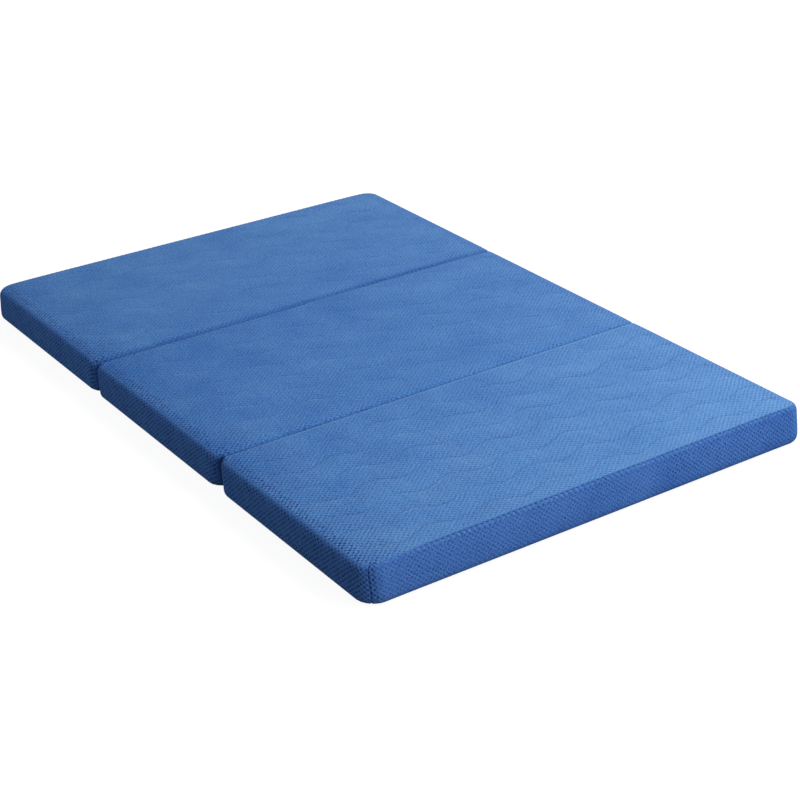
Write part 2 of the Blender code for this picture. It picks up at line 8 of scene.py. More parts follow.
import bmesh
import bpy
import numpy as np
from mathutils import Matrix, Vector


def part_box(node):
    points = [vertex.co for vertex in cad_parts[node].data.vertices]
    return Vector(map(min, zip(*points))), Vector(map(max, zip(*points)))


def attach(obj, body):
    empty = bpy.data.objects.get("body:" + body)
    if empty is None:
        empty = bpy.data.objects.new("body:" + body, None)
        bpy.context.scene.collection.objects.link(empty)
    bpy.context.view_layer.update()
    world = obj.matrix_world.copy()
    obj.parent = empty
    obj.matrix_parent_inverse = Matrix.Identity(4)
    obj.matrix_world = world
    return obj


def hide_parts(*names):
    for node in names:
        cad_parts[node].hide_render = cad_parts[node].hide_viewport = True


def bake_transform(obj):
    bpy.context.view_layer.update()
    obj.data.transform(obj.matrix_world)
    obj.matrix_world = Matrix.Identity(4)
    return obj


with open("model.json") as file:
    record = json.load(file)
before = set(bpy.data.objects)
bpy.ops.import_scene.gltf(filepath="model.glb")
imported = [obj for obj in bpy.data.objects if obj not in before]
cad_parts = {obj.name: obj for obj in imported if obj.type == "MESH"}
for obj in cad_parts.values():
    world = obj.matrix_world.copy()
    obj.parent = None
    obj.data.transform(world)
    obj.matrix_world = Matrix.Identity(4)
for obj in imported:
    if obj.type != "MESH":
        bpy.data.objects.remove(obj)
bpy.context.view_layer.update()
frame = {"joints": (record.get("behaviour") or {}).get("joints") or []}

mm = 0.001
scene = bpy.context.scene
scene.view_settings.view_transform = "Standard"


# Panels, from the frame

panelNames = ("foot", "middle", "head")


def readPanel(name):
    low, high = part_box(name + "_boxing")
    return {
        "name": name,
        "body": name + "_panel",
        "middle": (low.y + high.y) / 2,
        "halfWidth": high.x,
        "halfLength": (high.y - low.y) / 2,
        "ends": panelEnds[name],
    }


# The sides and the four kinds of end. Each kind gives what it has beyond the plain edge, which is:
plainEdge = {
    "top": 3 * mm,  # radius of the top edge
    "base": 9 * mm,  # radius of the bottom edge
    "seam": 12,  # degrees from the flat to the seam's place on the top edge
    "cornerTop": (26 * mm, 26 * mm),  # plan radius of the left and right corners, at the top and at the base
    "cornerBase": (26 * mm, 26 * mm),
    "bulge": 0.0,  # how far the seam stands past the end
    "lean": 0.0,  # how far the wall leans in from its foot to the seam
    "dip": 0.6 * mm,  # how far a stitch pulls the seam down
    "draw": 0.0,  # the same, sideways into the panel
    "ridge": 0.0,  # how far the band stands out between two stitches
    "closes": (),  # steps along x, each (from, to, share), whose sum is how closed the crease is
    "lift": 0.0,  # how much shallower the crease is where it is closed
    "seamShade": 0.7,  # shade along the seam
    "arcShade": 0.0,  # shade on the arc above the seam
    "slitShade": 0.0,  # shade in the slit
    "fade": 0.0,  # share of the shade that is lost where the crease is closed
}
edgeKinds = {
    "side": {**plainEdge, "top": 8 * mm, "seam": 10},
    "footEnd": {
        **plainEdge, "lean": 10 * mm, "dip": 1.6 * mm, "draw": 0.9 * mm, "ridge": 1.3 * mm, "seamShade": 0.95,
    },
    "headEnd": {**plainEdge, "lean": 10 * mm, "dip": 0.4 * mm, "draw": 0.2 * mm, "ridge": 0.3 * mm},
    "upperHinge": {
        **plainEdge, "top": 4 * mm, "seam": 50, "bulge": 1.24 * mm,
        "cornerTop": (16 * mm, 3 * mm), "cornerBase": (22 * mm, 16 * mm),
        "closes": ((-0.2, 0.1, 1.0),), "lift": 1.3 * mm,
        "seamShade": 0.35, "arcShade": 0.1, "slitShade": 0.7, "fade": 1.0,
    },
    "lowerHinge": {
        **plainEdge, "top": 9 * mm, "base": 4 * mm, "seam": 70, "bulge": 0.5 * mm,
        "cornerTop": (14 * mm, 3 * mm), "cornerBase": (18 * mm, 12 * mm),
        "closes": ((-0.32, -0.26, 0.3), (-0.2, -0.08, 0.36), (0.04, 0.16, -0.26), (0.22, 0.31, 0.6)),
        "lift": 4.2 * mm, "seamShade": 0.85, "arcShade": 0.4, "slitShade": 0.7, "fade": 0.55,
    },
}
panelEnds = {
    "foot": ("footEnd", "upperHinge"),
    "middle": ("upperHinge", "lowerHinge"),
    "head": ("lowerHinge", "headEnd"),
}
leastCorner = 1.5 * mm  # no corner of a piece is sharper in plan
topCrown = 3 * mm
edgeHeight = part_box("middle_top_cover")[1].z - topCrown  # height of the top seam
panels = {name: readPanel(name) for name in panelNames}


def bothEnds(panel, key):
    # The value at the front end and at the back end
    return [edgeKinds[kind][key] for kind in panel["ends"]]


def atEnd(panel, isBack, key):
    # The value at the end that each point is nearer to
    return np.where(isBack, *reversed(bothEnds(panel, key)))


def cornerRadius(panel, isRight, isBack, key):
    # Plan radius of the corner that each point of a grid is nearest to
    front, back = bothEnds(panel, key)
    return np.where(isBack, np.where(isRight, back[1], back[0]), np.where(isRight, front[1], front[0]))


# Colours and nodes

def linear(code):
    # sRGB hex to linear: c / 12.92 up to 0.04045, and ((c + 0.055) / 1.055) ^ 2.4 above
    parts = [int(code[i:i + 2], 16) / 255 for i in (1, 3, 5)]
    return (*[c / 12.92 if c <= 0.04045 else ((c + 0.055) / 1.055) ** 2.4 for c in parts], 1.0)


def setInputs(tree, node, inputs):
    # Each input takes a value, a link from an output, or a link from the first output in use of a node
    for key, value in inputs.items():
        if isinstance(value, bpy.types.Node):
            value = next(output for output in value.outputs if output.enabled)
        if isinstance(value, bpy.types.NodeSocket):
            tree.links.new(value, node.inputs[key])
        else:
            node.inputs[key].default_value = value


def addNode(tree, kind, inputs={}, **settings):
    # kind is the node's type without "ShaderNode"
    node = tree.nodes.new("ShaderNode" + kind)
    for key, value in settings.items():
        setattr(node, key, value)
    setInputs(tree, node, inputs)
    return node


def newMaterial(name, inputs):
    # A material, its nodes and its Principled shader, with the shader's own values
    material = bpy.data.materials.new(name)
    material.use_nodes = True
    tree = material.node_tree
    shader = tree.nodes["Principled BSDF"]
    setInputs(tree, shader, inputs)
    return material, tree, shader


# Camera at the photograph's angle

camera = {
    "place": (-1.2458, -1.8718, 1.0983),
    "turn": (62.988, 1.222, -34.013),  # degrees
    "lens": 83.22,
    "shift": (0.0470, 0.0063),
}


def addCamera():
    data = bpy.data.cameras.new("camera")
    data.lens = camera["lens"]
    data.shift_x, data.shift_y = camera["shift"]
    data.clip_end = 50
    eye = bpy.data.objects.new("camera", data)
    eye.location = camera["place"]
    eye.rotation_euler = [math.radians(angle) for angle in camera["turn"]]
    scene.collection.objects.link(eye)
    scene.camera = eye


# Studio: a white floor, a soft key lamp above the right side, a weaker one in front, and a pale sky

studio = {
    "floorSize": 40,
    "floorLevel": -0.2 * mm,
    "floorBounce": 0.14,  # reflectance of the floor for light that reaches the object
    "floorWhite": 0.93,  # light of its own near the mattress, so that it shows white; 1 from floorFar on
    "floorNear": 0.9,  # from here the floor's own light rises, up to floorFar
    "floorFar": 2.5,
    "floorLit": 0.16,  # share of the lamps' light, which keeps the object's shadow
    "sky": 0.19,
    "skyTint": "#F4F4FF",
    "lamps": {  # place, aim, size, power in watts, tint
        "key": ((1.3, -0.7, 1.9), (0.1, -0.1, 0.0), 1.2, 33, "#FFFFF0"),
        "front": ((0.8, -2.6, 1.3), (0.0, -0.2, 0.0), 1.8, 34, "#FFFAFE"),
        "left": ((-2.4, 0.9, 0.9), (0.0, 0.1, 0.0), 1.5, 6.5, "#E6FFF4"),
        "rim": ((2.3, 1.6, 0.8), (0.3, -0.2, 0.0), 1.2, 33, "#FFFFEC"),
    },
}


def seenDirectly(tree):
    # 1 for camera, glossy and transmission rays, 0 for the light that the floor or sky sends out
    rays = addNode(tree, "LightPath")
    glossy = addNode(tree, "Math", {0: rays.outputs["Is Camera Ray"], 1: rays.outputs["Is Glossy Ray"]},
                     operation="MAXIMUM")
    return addNode(tree, "Math", {0: glossy, 1: rays.outputs["Is Transmission Ray"]}, operation="MAXIMUM")


def addFloor():
    half = studio["floorSize"] / 2
    mesh = bpy.data.meshes.new("floor")
    corners = [(-half, -half), (half, -half), (half, half), (-half, half)]
    mesh.from_pydata([(*corner, studio["floorLevel"]) for corner in corners], [], [(0, 1, 2, 3)])
    floor = bpy.data.objects.new("floor", mesh)
    scene.collection.objects.link(floor)
    material = bpy.data.materials.new("white studio floor")
    material.use_nodes = True
    tree = material.node_tree
    tree.nodes.clear()
    lit = addNode(tree, "BsdfDiffuse", {"Color": (studio["floorLit"],) * 3 + (1,)})
    place = addNode(tree, "TexCoord")
    away = addNode(tree, "VectorMath", {0: place.outputs["Object"]}, operation="LENGTH")
    strength = addNode(tree, "MapRange", {
        "Value": away, "From Min": studio["floorNear"], "From Max": studio["floorFar"],
        "To Min": studio["floorWhite"], "To Max": 1.0}, interpolation_type="SMOOTHSTEP")
    white = addNode(tree, "Emission", {"Strength": strength, "Color": (1, 1, 1, 1)})
    shown = addNode(tree, "AddShader", {0: lit, 1: white})
    bounce = (studio["floorBounce"],) * 3 + (1,)
    plain = addNode(tree, "BsdfDiffuse", {"Color": bounce})
    choice = addNode(tree, "MixShader", {0: seenDirectly(tree), 1: plain, 2: shown})
    # From below it is clear, so that the underside can be looked at
    below = addNode(tree, "NewGeometry")
    clear = addNode(tree, "BsdfTransparent")
    whole = addNode(tree, "MixShader", {0: below.outputs["Backfacing"], 1: choice, 2: clear})
    addNode(tree, "OutputMaterial", {"Surface": whole})
    mesh.materials.append(material)


def addSky():
    world = bpy.data.worlds.new("pale sky")
    scene.world = world
    world.use_nodes = True
    tree = world.node_tree
    tree.nodes.clear()
    soft = addNode(tree, "Background", {"Color": linear(studio["skyTint"]), "Strength": studio["sky"]})
    white = addNode(tree, "Background", {"Color": (1, 1, 1, 1), "Strength": 1.0})
    choice = addNode(tree, "MixShader", {0: seenDirectly(tree), 1: soft, 2: white})
    addNode(tree, "OutputWorld", {"Surface": choice})


def addLamps():
    for name, (place, aim, size, power, tint) in studio["lamps"].items():
        data = bpy.data.lights.new(name + " lamp", "AREA")
        data.shape = "DISK"
        data.size = size
        data.energy = power
        data.color = linear(tint)[:3]
        light = bpy.data.objects.new(name + " lamp", data)
        light.location = place
        light.rotation_euler = (Vector(aim) - Vector(place)).to_track_quat("-Z", "Y").to_euler()
        scene.collection.objects.link(light)


# Meshes

sharpEdge = math.radians(55)  # faces that meet at more than this are not shaded as one


def addPiece(name, material, points, faces, uv=None, lap=None, values=None, body=None, replaced=()):
    # A closed mesh from points (n, 3) and blocks of faces, with the weave's uv in mm and other named values
    # at each point. lap is (column of each point, length round): a face that joins the last column to the
    # first takes the whole length as the u of its corners in the first.
    mesh = bpy.data.meshes.new(name)
    mesh.from_pydata(points.tolist(), [], [face for block in faces for face in block.tolist()])
    if uv is not None:
        corners = np.concatenate([block.ravel() for block in faces])
        face = np.repeat(np.arange(sum(len(block) for block in faces)),
                         np.concatenate([np.full(len(block), block.shape[1]) for block in faces]))
        place = uv[corners].copy()
        if lap is not None:
            column, length = lap
            last = np.zeros(face[-1] + 1)
            np.maximum.at(last, face, column[corners])
            place[(last[face] == column.max()) & (column[corners] == 0), 0] += length
        mesh.uv_layers.new(name="weave").data.foreach_set("uv", place.astype(np.float32).ravel())
    for key, value in (values or {}).items():
        attribute = mesh.attributes.new(key, "FLOAT", "POINT")
        attribute.data.foreach_set("value", value.astype(np.float32).ravel())
    work = bmesh.new()
    work.from_mesh(mesh)
    if work.calc_volume(signed=True) < 0:
        bmesh.ops.reverse_faces(work, faces=work.faces)
    work.to_mesh(mesh)
    work.free()
    mesh.shade_smooth()
    mesh.set_sharp_from_angle(angle=sharpEdge)
    mesh.materials.append(material)
    piece = bpy.data.objects.new(name, mesh)
    scene.collection.objects.link(piece)
    if replaced:
        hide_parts(*replaced)
    if body:
        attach(piece, body)
    return piece


def gridFaces(index):
    # Quads between each four neighbours of a grid of point numbers
    return np.stack([index[:-1, :-1], index[:-1, 1:], index[1:, 1:], index[1:, :-1]], -1).reshape(-1, 4)


def gridRim(index):
    # The outermost points of a grid, once round
    return np.concatenate([index[0, :-1], index[:-1, -1], index[-1, :0:-1], index[:0:-1, 0]])


def ringFaces(first, second):
    # Quads between two closed rows of points
    return np.stack([first, np.roll(first, -1), np.roll(second, -1), second], -1)


def roundedGrid(x, y, limitX, limitY, radiusX, radiusY):
    # Grid lines bent into a rectangle with rounded corners. Inside a corner's square the two distances
    # a and b, each 0 to 1, become a * sqrt(1 - b^2 / 2) and b * sqrt(1 - a^2 / 2), which is an ellipse at
    # the rim. limitY is given for each row, radiusX and radiusY for each point.
    X, Y = np.meshgrid(np.abs(x), np.abs(y))
    limitY = limitY[:, None]
    baseX = np.minimum(X, limitX - radiusX)
    baseY = np.minimum(Y, limitY - radiusY)
    a = (X - baseX) / radiusX
    b = (Y - baseY) / radiusY
    bentA = a * np.sqrt(1 - b * b / 2)
    bentB = b * np.sqrt(1 - a * a / 2)
    return ((baseX + radiusX * bentA) * np.sign(x), (baseY + radiusY * bentB) * np.sign(y)[:, None],
            bentA, bentB)


def capsules(centres, along, up, length, width, height, sag):
    # Short threads: six-sided tubes of four rings that narrow to their ends, which dip by sag. A point is
    # centre + along * reach * length / 2 + ring * size - up * sag * reach^2.
    reach = np.array([-1.0, -0.6, 0.6, 1.0])
    size = np.array([0.45, 1.0, 1.0, 0.45])
    sides = 6
    angle = np.arange(sides) * 2 * np.pi / sides
    side = np.cross(along, up)
    ring = (np.cos(angle)[:, None] * side[:, None, :] * width
            + np.sin(angle)[:, None] * up[:, None, :] * height) / 2
    points = (centres[:, None, None, :] + along[:, None, None, :] * (reach * length / 2)[:, None, None]
              + ring[:, None, :, :] * size[:, None, None]
              - up[:, None, None, :] * (sag * reach**2)[:, None, None])
    first = np.arange(len(centres))[:, None] * sides * len(reach)
    corner = np.arange(sides)
    following = (corner + 1) % sides
    blocks = []
    for low in range(0, sides * (len(reach) - 1), sides):
        high = low + sides
        blocks.append(np.stack([first + low + corner, first + low + following,
                                first + high + following, first + high + corner], -1).reshape(-1, 4))
    return points.reshape(-1, 3), blocks + [first + corner[::-1], first + high + corner]


def smoothStep(low, high, value):
    # t^2 * (3 - 2t), which rises from 0 at low to 1 at high
    t = np.clip((value - low) / (high - low), 0, 1)
    return t * t * (3 - 2 * t)


def drift(x, y, wavelength, seed):
    # Slow unevenness from -1 to 1: the mean of plane waves whose directions step by the golden angle, and
    # whose lengths run from 0.7 to 1.38 of the wavelength
    goldenAngle = 2.399963
    waves = 5
    total = np.zeros(np.broadcast(x, y).shape)
    for k in range(waves):
        angle = goldenAngle * (k + 1) + seed
        size = wavelength * (0.7 + 0.17 * k)
        forward = x * math.cos(angle) + y * math.sin(angle)
        total = total + np.sin(2 * np.pi * forward / size + 1.7 * k + 3 * seed)
    return total / waves


def sampleGrid(values, row, column):
    # Smooth reading of a grid between its points: the cubic B-spline weights of the 4 x 4 nearest ones
    def weights(t):
        return ((1 - t) ** 3 / 6, (3 * t**3 - 6 * t**2 + 4) / 6,
                (-3 * t**3 + 3 * t**2 + 3 * t + 1) / 6, t**3 / 6)

    i = np.floor(row).astype(int)
    j = np.floor(column).astype(int)
    total = np.zeros(row.shape)
    for a, wa in enumerate(weights(row - i)):
        ii = np.clip(i + a - 1, 0, values.shape[0] - 1)
        for b, wb in enumerate(weights(column - j)):
            jj = np.clip(j + b - 1, 0, values.shape[1] - 1)
            total += wa * wb * values[ii, jj]
    return total


def woven(name, warp, weft, gap, pitch, twill, roughness, sheen):
    # Cloth of two crossing sets of threads, read from the uv in mm: each thread is a rounded ridge that
    # shows where the weave lifts it, on a darker ground. pitch is from thread to thread in mm, drawn coarser
    # than the real 0.4 mm so that it shows. twill 0 is a plain weave, 1 steps each row by one.
    material, tree, shader = newMaterial(name, {
        "Roughness": roughness, "Sheen Weight": sheen, "Sheen Roughness": 0.5, "Specular IOR Level": 0.3})
    weave = addNode(tree, "UVMap", uv_map="weave")
    scaled = addNode(tree, "VectorMath", {0: weave, 1: (math.pi / pitch, math.pi / pitch, 0)},
                     operation="MULTIPLY")
    axes = addNode(tree, "SeparateXYZ", {0: scaled})
    slant = addNode(tree, "Math", {0: axes.outputs["Y"], 1: float(twill), 2: axes.outputs["X"]},
                    operation="MULTIPLY_ADD")
    waveU = addNode(tree, "Math", {0: slant}, operation="SINE")
    waveV = addNode(tree, "Math", {0: axes.outputs["Y"]}, operation="SINE")
    lifted = addNode(tree, "Math", {0: waveU, 1: waveV}, operation="MULTIPLY")
    over = addNode(tree, "MapRange", {"Value": lifted, "From Min": -0.35, "From Max": 0.35},
                   interpolation_type="SMOOTHSTEP")
    ridge = addNode(tree, "Math", {0: lifted}, operation="ABSOLUTE")
    ground = addNode(tree, "MapRange", {"Value": ridge, "From Min": 0.0, "From Max": 0.45})
    threads = addNode(tree, "Mix", {0: over, 6: linear(weft), 7: linear(warp)}, data_type="RGBA")
    # The dye has faded in patches 45 mm wide
    faded = addNode(tree, "TexNoise", {"Vector": weave, "Scale": 1 / 45, "Detail": 3.0},
                    noise_dimensions="2D")
    shade = addNode(tree, "Math", {0: faded, 1: 0.5, 2: -0.25}, operation="MULTIPLY_ADD", use_clamp=True)
    amount = addNode(tree, "Math", {0: ground, 1: shade}, operation="SUBTRACT", use_clamp=True)
    colour = addNode(tree, "Mix", {0: amount, 6: linear(gap), 7: threads}, data_type="RGBA")
    bump = addNode(tree, "Bump", {"Height": ridge, "Strength": 0.5, "Distance": 0.15 * mm})
    setInputs(tree, shader, {"Base Color": colour, "Normal": bump})
    return material


# Air-mesh knit: the holes lie on a staggered grid, one at each corner and one in the middle of a cell.
# f = cos(2 pi u / across) * cos(2 pi v / along) is 1 in the middle of a hole and -1 where the yarns cross.

knit = {
    "across": 7.65,  # mm between holes of one row, across the width
    "along": 6.2,
    "bandAcross": 6.9,  # the same round the band, and down it
    "bandAlong": 6.0,
    "stepsPerCell": 4,
    "dimple": 0.38 * mm,  # how far the face sinks in a hole
    "holeEdge": 0.24,  # value of f where a closed hole's shade begins
    "holeSoft": 0.40,
    "holeOpening": 0.38,  # how much lower it begins where the knit is stretched open
    "topYarns": ("#346BB9", "#6A9EDC"),  # usual and light
    "bandYarns": ("#3163B2", "#5C8DD8"),
    # the holes' colour: the layer below, darkened further as painted shade
    "hole": "#0D2F76",
    "fold": "#15377A",  # in the shade of a seam's fold
    # each cover's share of light yarn beyond the usual, and its slope across the width and along it, which is
    # painted light and shade
    "toneAndPaintedLight": {"foot": (0.07, 0.12, -0.12), "middle": (-0.14, 0.07, -0.05), "head": (-0.07, 0.0, 0.05)},
    # sizes of the patterns, mm
    "wander": 0.7,  # how far the rows of holes wander to either side
    "wanderRun": 38,
    "tensionRun": 17,
    "holeRun": 4.6,  # from one hole to the next that is drawn differently
    "loop": (2.4, 1.6),  # real yarn loops are 0.5 wide; this is the least that shows
    "filament": 1.9,
    "patch": 70,
}


def holeDepth(u, v, across, along):
    # The square of (1 + f) / 2
    return (0.5 + 0.5 * np.cos(2 * np.pi * u / across) * np.cos(2 * np.pi * v / along)) ** 2


def knitMaterial(name, across, along, yarns):
    # Polyester spacer knit, warp-knitted: a matt face of fine yarn loops that scatter light at a grazing
    # angle, and round holes through to a darker layer below, whose dark colour is also painted shade in the
    # hole
    material, tree, shader = newMaterial(name, {
        "Roughness": 0.86,
        "Sheen Weight": 0.03,
        "Sheen Roughness": 0.5,
        "Sheen Tint": linear("#CFE4FF"),
        "Specular IOR Level": 0.12,
    })
    weave = addNode(tree, "UVMap", uv_map="weave")
    # Hand-cut cloth never runs quite straight, so the rows of holes wander
    wander = addNode(tree, "TexNoise", {"Vector": weave, "Scale": 1 / knit["wanderRun"], "Detail": 1.0},
                     noise_dimensions="2D")
    far = knit["wander"]
    offset = addNode(tree, "VectorMath", {
        0: wander.outputs["Color"], 1: (2 * far, 2 * far, 0), 2: (-far, -far, 0)}, operation="MULTIPLY_ADD")
    place = addNode(tree, "VectorMath", {0: weave, 1: offset}, operation="ADD")
    turns = addNode(tree, "VectorMath", {0: place, 1: (2 * math.pi / across, 2 * math.pi / along, 0)},
                    operation="MULTIPLY")
    axes = addNode(tree, "SeparateXYZ", {0: turns})
    waveU = addNode(tree, "Math", {0: axes.outputs["X"]}, operation="COSINE")
    waveV = addNode(tree, "Math", {0: axes.outputs["Y"]}, operation="COSINE")
    f = addNode(tree, "Math", {0: waveU, 1: waveV}, operation="MULTIPLY")
    # The yarn's tension varies, so the knit is more open in some patches and single holes are nearly shut
    stretch = addNode(tree, "Attribute", attribute_name="openness")
    tension = addNode(tree, "TexNoise", {"Vector": weave, "Scale": 1 / knit["tensionRun"], "Detail": 2.0},
                      noise_dimensions="2D")
    uneven = addNode(tree, "Math", {0: tension, 1: 0.9, 2: -0.45}, operation="MULTIPLY_ADD")
    openness = addNode(tree, "Math", {0: stretch.outputs["Fac"], 1: uneven},
                       operation="ADD", use_clamp=True)
    single = addNode(tree, "TexNoise", {"Vector": place, "Scale": 1 / knit["holeRun"], "Detail": 0.0},
                     noise_dimensions="2D")
    shut = addNode(tree, "MapRange", {
        "Value": single, "From Min": 0.32, "From Max": 0.62, "To Min": 0.45, "To Max": 1.0})
    low = addNode(tree, "Math", {0: openness, 1: -knit["holeOpening"], 2: knit["holeEdge"]},
                  operation="MULTIPLY_ADD")
    high = addNode(tree, "Math", {0: low, 1: knit["holeSoft"]}, operation="ADD")
    shade = addNode(tree, "MapRange", {"Value": f, "From Min": low, "From Max": high},
                    interpolation_type="SMOOTHSTEP")
    depth = addNode(tree, "Math", {0: openness, 1: 0.6, 2: 0.4}, operation="MULTIPLY_ADD")
    deep = addNode(tree, "Math", {0: shut, 1: depth}, operation="MULTIPLY")
    cover = addNode(tree, "Math", {0: shade, 1: deep}, operation="MULTIPLY")
    loopU, loopV = knit["loop"]
    looped = addNode(tree, "VectorMath", {0: weave, 1: (1 / loopU, 1 / loopV, 0)}, operation="MULTIPLY")
    loops = addNode(tree, "TexNoise", {"Vector": looped, "Scale": 1.0, "Detail": 2.0},
                    noise_dimensions="2D")
    light = addNode(tree, "MapRange", {"Value": loops, "From Min": 0.28, "From Max": 0.72})
    # Here and there a loose filament stands up and catches the light
    pile = addNode(tree, "TexNoise", {"Vector": weave, "Scale": 1 / knit["filament"], "Detail": 1.0},
                   noise_dimensions="2D")
    specks = addNode(tree, "MapRange", {"Value": pile, "From Min": 0.62, "From Max": 0.74, "To Max": 0.55},
                     interpolation_type="SMOOTHSTEP")
    lively = addNode(tree, "Math", {0: light, 1: specks}, operation="ADD")
    # The dye and the pile vary slowly over the cloth; each cover adds its level, its painted light and shade,
    # and painted highlights
    patches = addNode(tree, "TexNoise", {"Vector": weave, "Scale": 1 / knit["patch"], "Detail": 2.0},
                      noise_dimensions="2D")
    varied = addNode(tree, "Math", {0: patches, 1: 0.5, 2: -0.25}, operation="MULTIPLY_ADD")
    toneAndPaintedLight = addNode(tree, "Attribute", attribute_name="toneAndPaintedLight")
    mixed = addNode(tree, "Math", {0: varied, 1: toneAndPaintedLight.outputs["Fac"]}, operation="ADD")
    amount = addNode(tree, "Math", {0: lively, 1: 0.85, 2: mixed}, operation="MULTIPLY_ADD", use_clamp=True)
    face = addNode(tree, "Mix", {0: amount, 6: linear(yarns[0]), 7: linear(yarns[1])}, data_type="RGBA")
    pierced = addNode(tree, "Mix", {0: cover, 6: face, 7: linear(knit["hole"])}, data_type="RGBA")
    # Painted shade along the seams and the sewn rows, on the arcs that turn into a slit, in the slits and at
    # the butt seam
    fold = addNode(tree, "Attribute", attribute_name="fold")
    colour = addNode(tree, "Mix", {0: fold.outputs["Fac"], 6: pierced, 7: linear(knit["fold"])},
                     data_type="RGBA")
    relief = addNode(tree, "Math", {0: shade, 1: -1.0, 2: loops}, operation="MULTIPLY_ADD")
    bump = addNode(tree, "Bump", {"Height": relief, "Strength": 0.35, "Distance": 0.35 * mm})
    setInputs(tree, shader, {"Base Color": colour, "Normal": bump})
    return material


# Quilting: rows sewn in waves across the width. A place's row coordinate q is its y from the panel's
# middle with the wave taken out, so that a sewn row is a line of constant q.

quilting = {
    "waveRise": 6.75 * mm,
    "endMargin": 17 * mm,  # least distance from a row to the end of the panel
    "fade": 26 * mm,  # over which a wave dies out at the sides
    "puff": 0.75 * mm,
    "channel": 1.1 * mm,  # depth of a sewn row below the crown
    "grooveDepth": 0.4 * mm,
    "grooveWidth": 1.3 * mm,
    "crease": 0.12 * mm,  # slack of the face between the rows, in creases that run across
    "creaseRun": 24 * mm,
    "slow": 0.2 * mm,  # slow unevenness of the whole face
    "slowRun": 160 * mm,
    "reliefFrom": 8 * mm,  # from the rim to where the puffs begin
    "reliefFull": 26 * mm,  # and to where they have their full height
    "rowFrom": 9 * mm,  # the same for the grooves of the sewn rows
    "rowFull": 16 * mm,
    # the last entry paints the puckers' lit side lighter, a painted highlight
    "pucker": {"height": 0.3 * mm, "from": -2.4 * mm, "width": 1.1 * mm, "run": 45 * mm, "toneAndPaintedLight": 0.4},
    "shade": {"foot": 0.34, "middle": 0.14, "head": 0.18},  # in the grooves
    "shadeWidth": 1.3 * mm,
    "shadeRun": 70 * mm,
    "foot": {"pitch": 39.2 * mm, "row": -2.8 * mm, "wave": 86 * mm, "crest": 41 * mm},
    "middle": {"pitch": 40.6 * mm, "row": 16.5 * mm, "wave": 90 * mm, "crest": 10 * mm},
    "head": {"pitch": 41.5 * mm, "row": 1 * mm, "wave": 90 * mm, "crest": 48 * mm},
}


def waveShift(panel, x, q):
    # waveRise * cos(2 pi (x - crest) / wave), fading towards the rim
    sewn = quilting[panel["name"]]
    fadeX = np.clip((panel["halfWidth"] - np.abs(x)) / quilting["fade"], 0, 1)
    fadeY = np.clip((panel["halfLength"] - np.abs(q)) / quilting["endMargin"], 0, 1)
    return quilting["waveRise"] * fadeX * fadeY * np.cos(2 * np.pi * (x - sewn["crest"]) / sewn["wave"])


def rowCoordinate(panel, x, y):
    # q = y - waveShift(x, q), solved by putting it into itself
    q = y
    for _ in range(4):
        q = y - waveShift(panel, x, q)
    return q


def sewnRows(panel):
    # row + pitch * k, for each k that keeps the endMargin
    sewn = quilting[panel["name"]]
    reach = panel["halfLength"] - quilting["endMargin"]
    first = math.ceil((-reach - sewn["row"]) / sewn["pitch"])
    last = math.floor((reach - sewn["row"]) / sewn["pitch"])
    return sewn["row"] + sewn["pitch"] * np.arange(first, last + 1)


def crown(panel, x, y):
    # topCrown * (1 - |x / halfWidth|^16) * (1 - |y / halfLength|^16), and no less than 0
    across = np.minimum(np.abs(x) / panel["halfWidth"], 1)
    along = np.minimum(np.abs(y) / panel["halfLength"], 1)
    return topCrown * (1 - across**16) * (1 - along**16)


def toRim(panel, x, y):
    # Distance to the nearest edge of the top
    lean = atEnd(panel, y > 0, "lean")
    return np.minimum(panel["halfWidth"] - np.abs(x), panel["halfLength"] - lean - np.abs(y))


# The wadding's puffs come from a cloth simulation on a coarse grid that is pinned at the sewn rows and
# at the rim, and blown up by a light pressure

puffing = {
    "cell": 5.5 * mm,
    "frames": 20,
    "pressure": 8.0,
    "spare": 0.0015,  # cloth is this share larger than the frame it is sewn to
    "bending": 2.0,
    "stiffness": 12,
    "mass": 0.15,
    "quality": 6,
    "start": 0.3 * mm,  # height of the arcs that it starts from
    "cap": 2.2 * mm,
    "endInset": 4 * mm,
    "sideInset": 8 * mm,
}


def puffGrid(panel):
    # Columns in x, rows in q with a row of points on each sewn row
    end = panel["halfLength"] - puffing["endInset"]
    rows = np.concatenate([[-end], sewnRows(panel), [end]])
    q = [rows[:1]]
    pinned = [0]
    for row, following in zip(rows, rows[1:]):
        count = max(3, round((following - row) / puffing["cell"]))
        q.append(row + (following - row) * np.arange(1, count + 1) / count)
        pinned.append(pinned[-1] + count)
    q = np.concatenate(q)
    reach = panel["halfWidth"] - puffing["sideInset"]
    x = np.linspace(-reach, reach, 1 + round(2 * reach / puffing["cell"]))
    return x, q, pinned


def arcPuffs(x, q, pinned):
    # Between two sewn rows: 1 - |2t - 1|^2.4, from 0 at a row to 1 halfway, less a dip at the sides
    rows = q[pinned]
    strip = np.clip(np.searchsorted(rows, q, side="right") - 1, 0, len(rows) - 2)
    t = (q - rows[strip]) / (rows[strip + 1] - rows[strip])
    side = 1 - np.abs(x / x[-1]) ** 14
    return np.outer(1 - np.abs(2 * t - 1) ** 2.4, side)


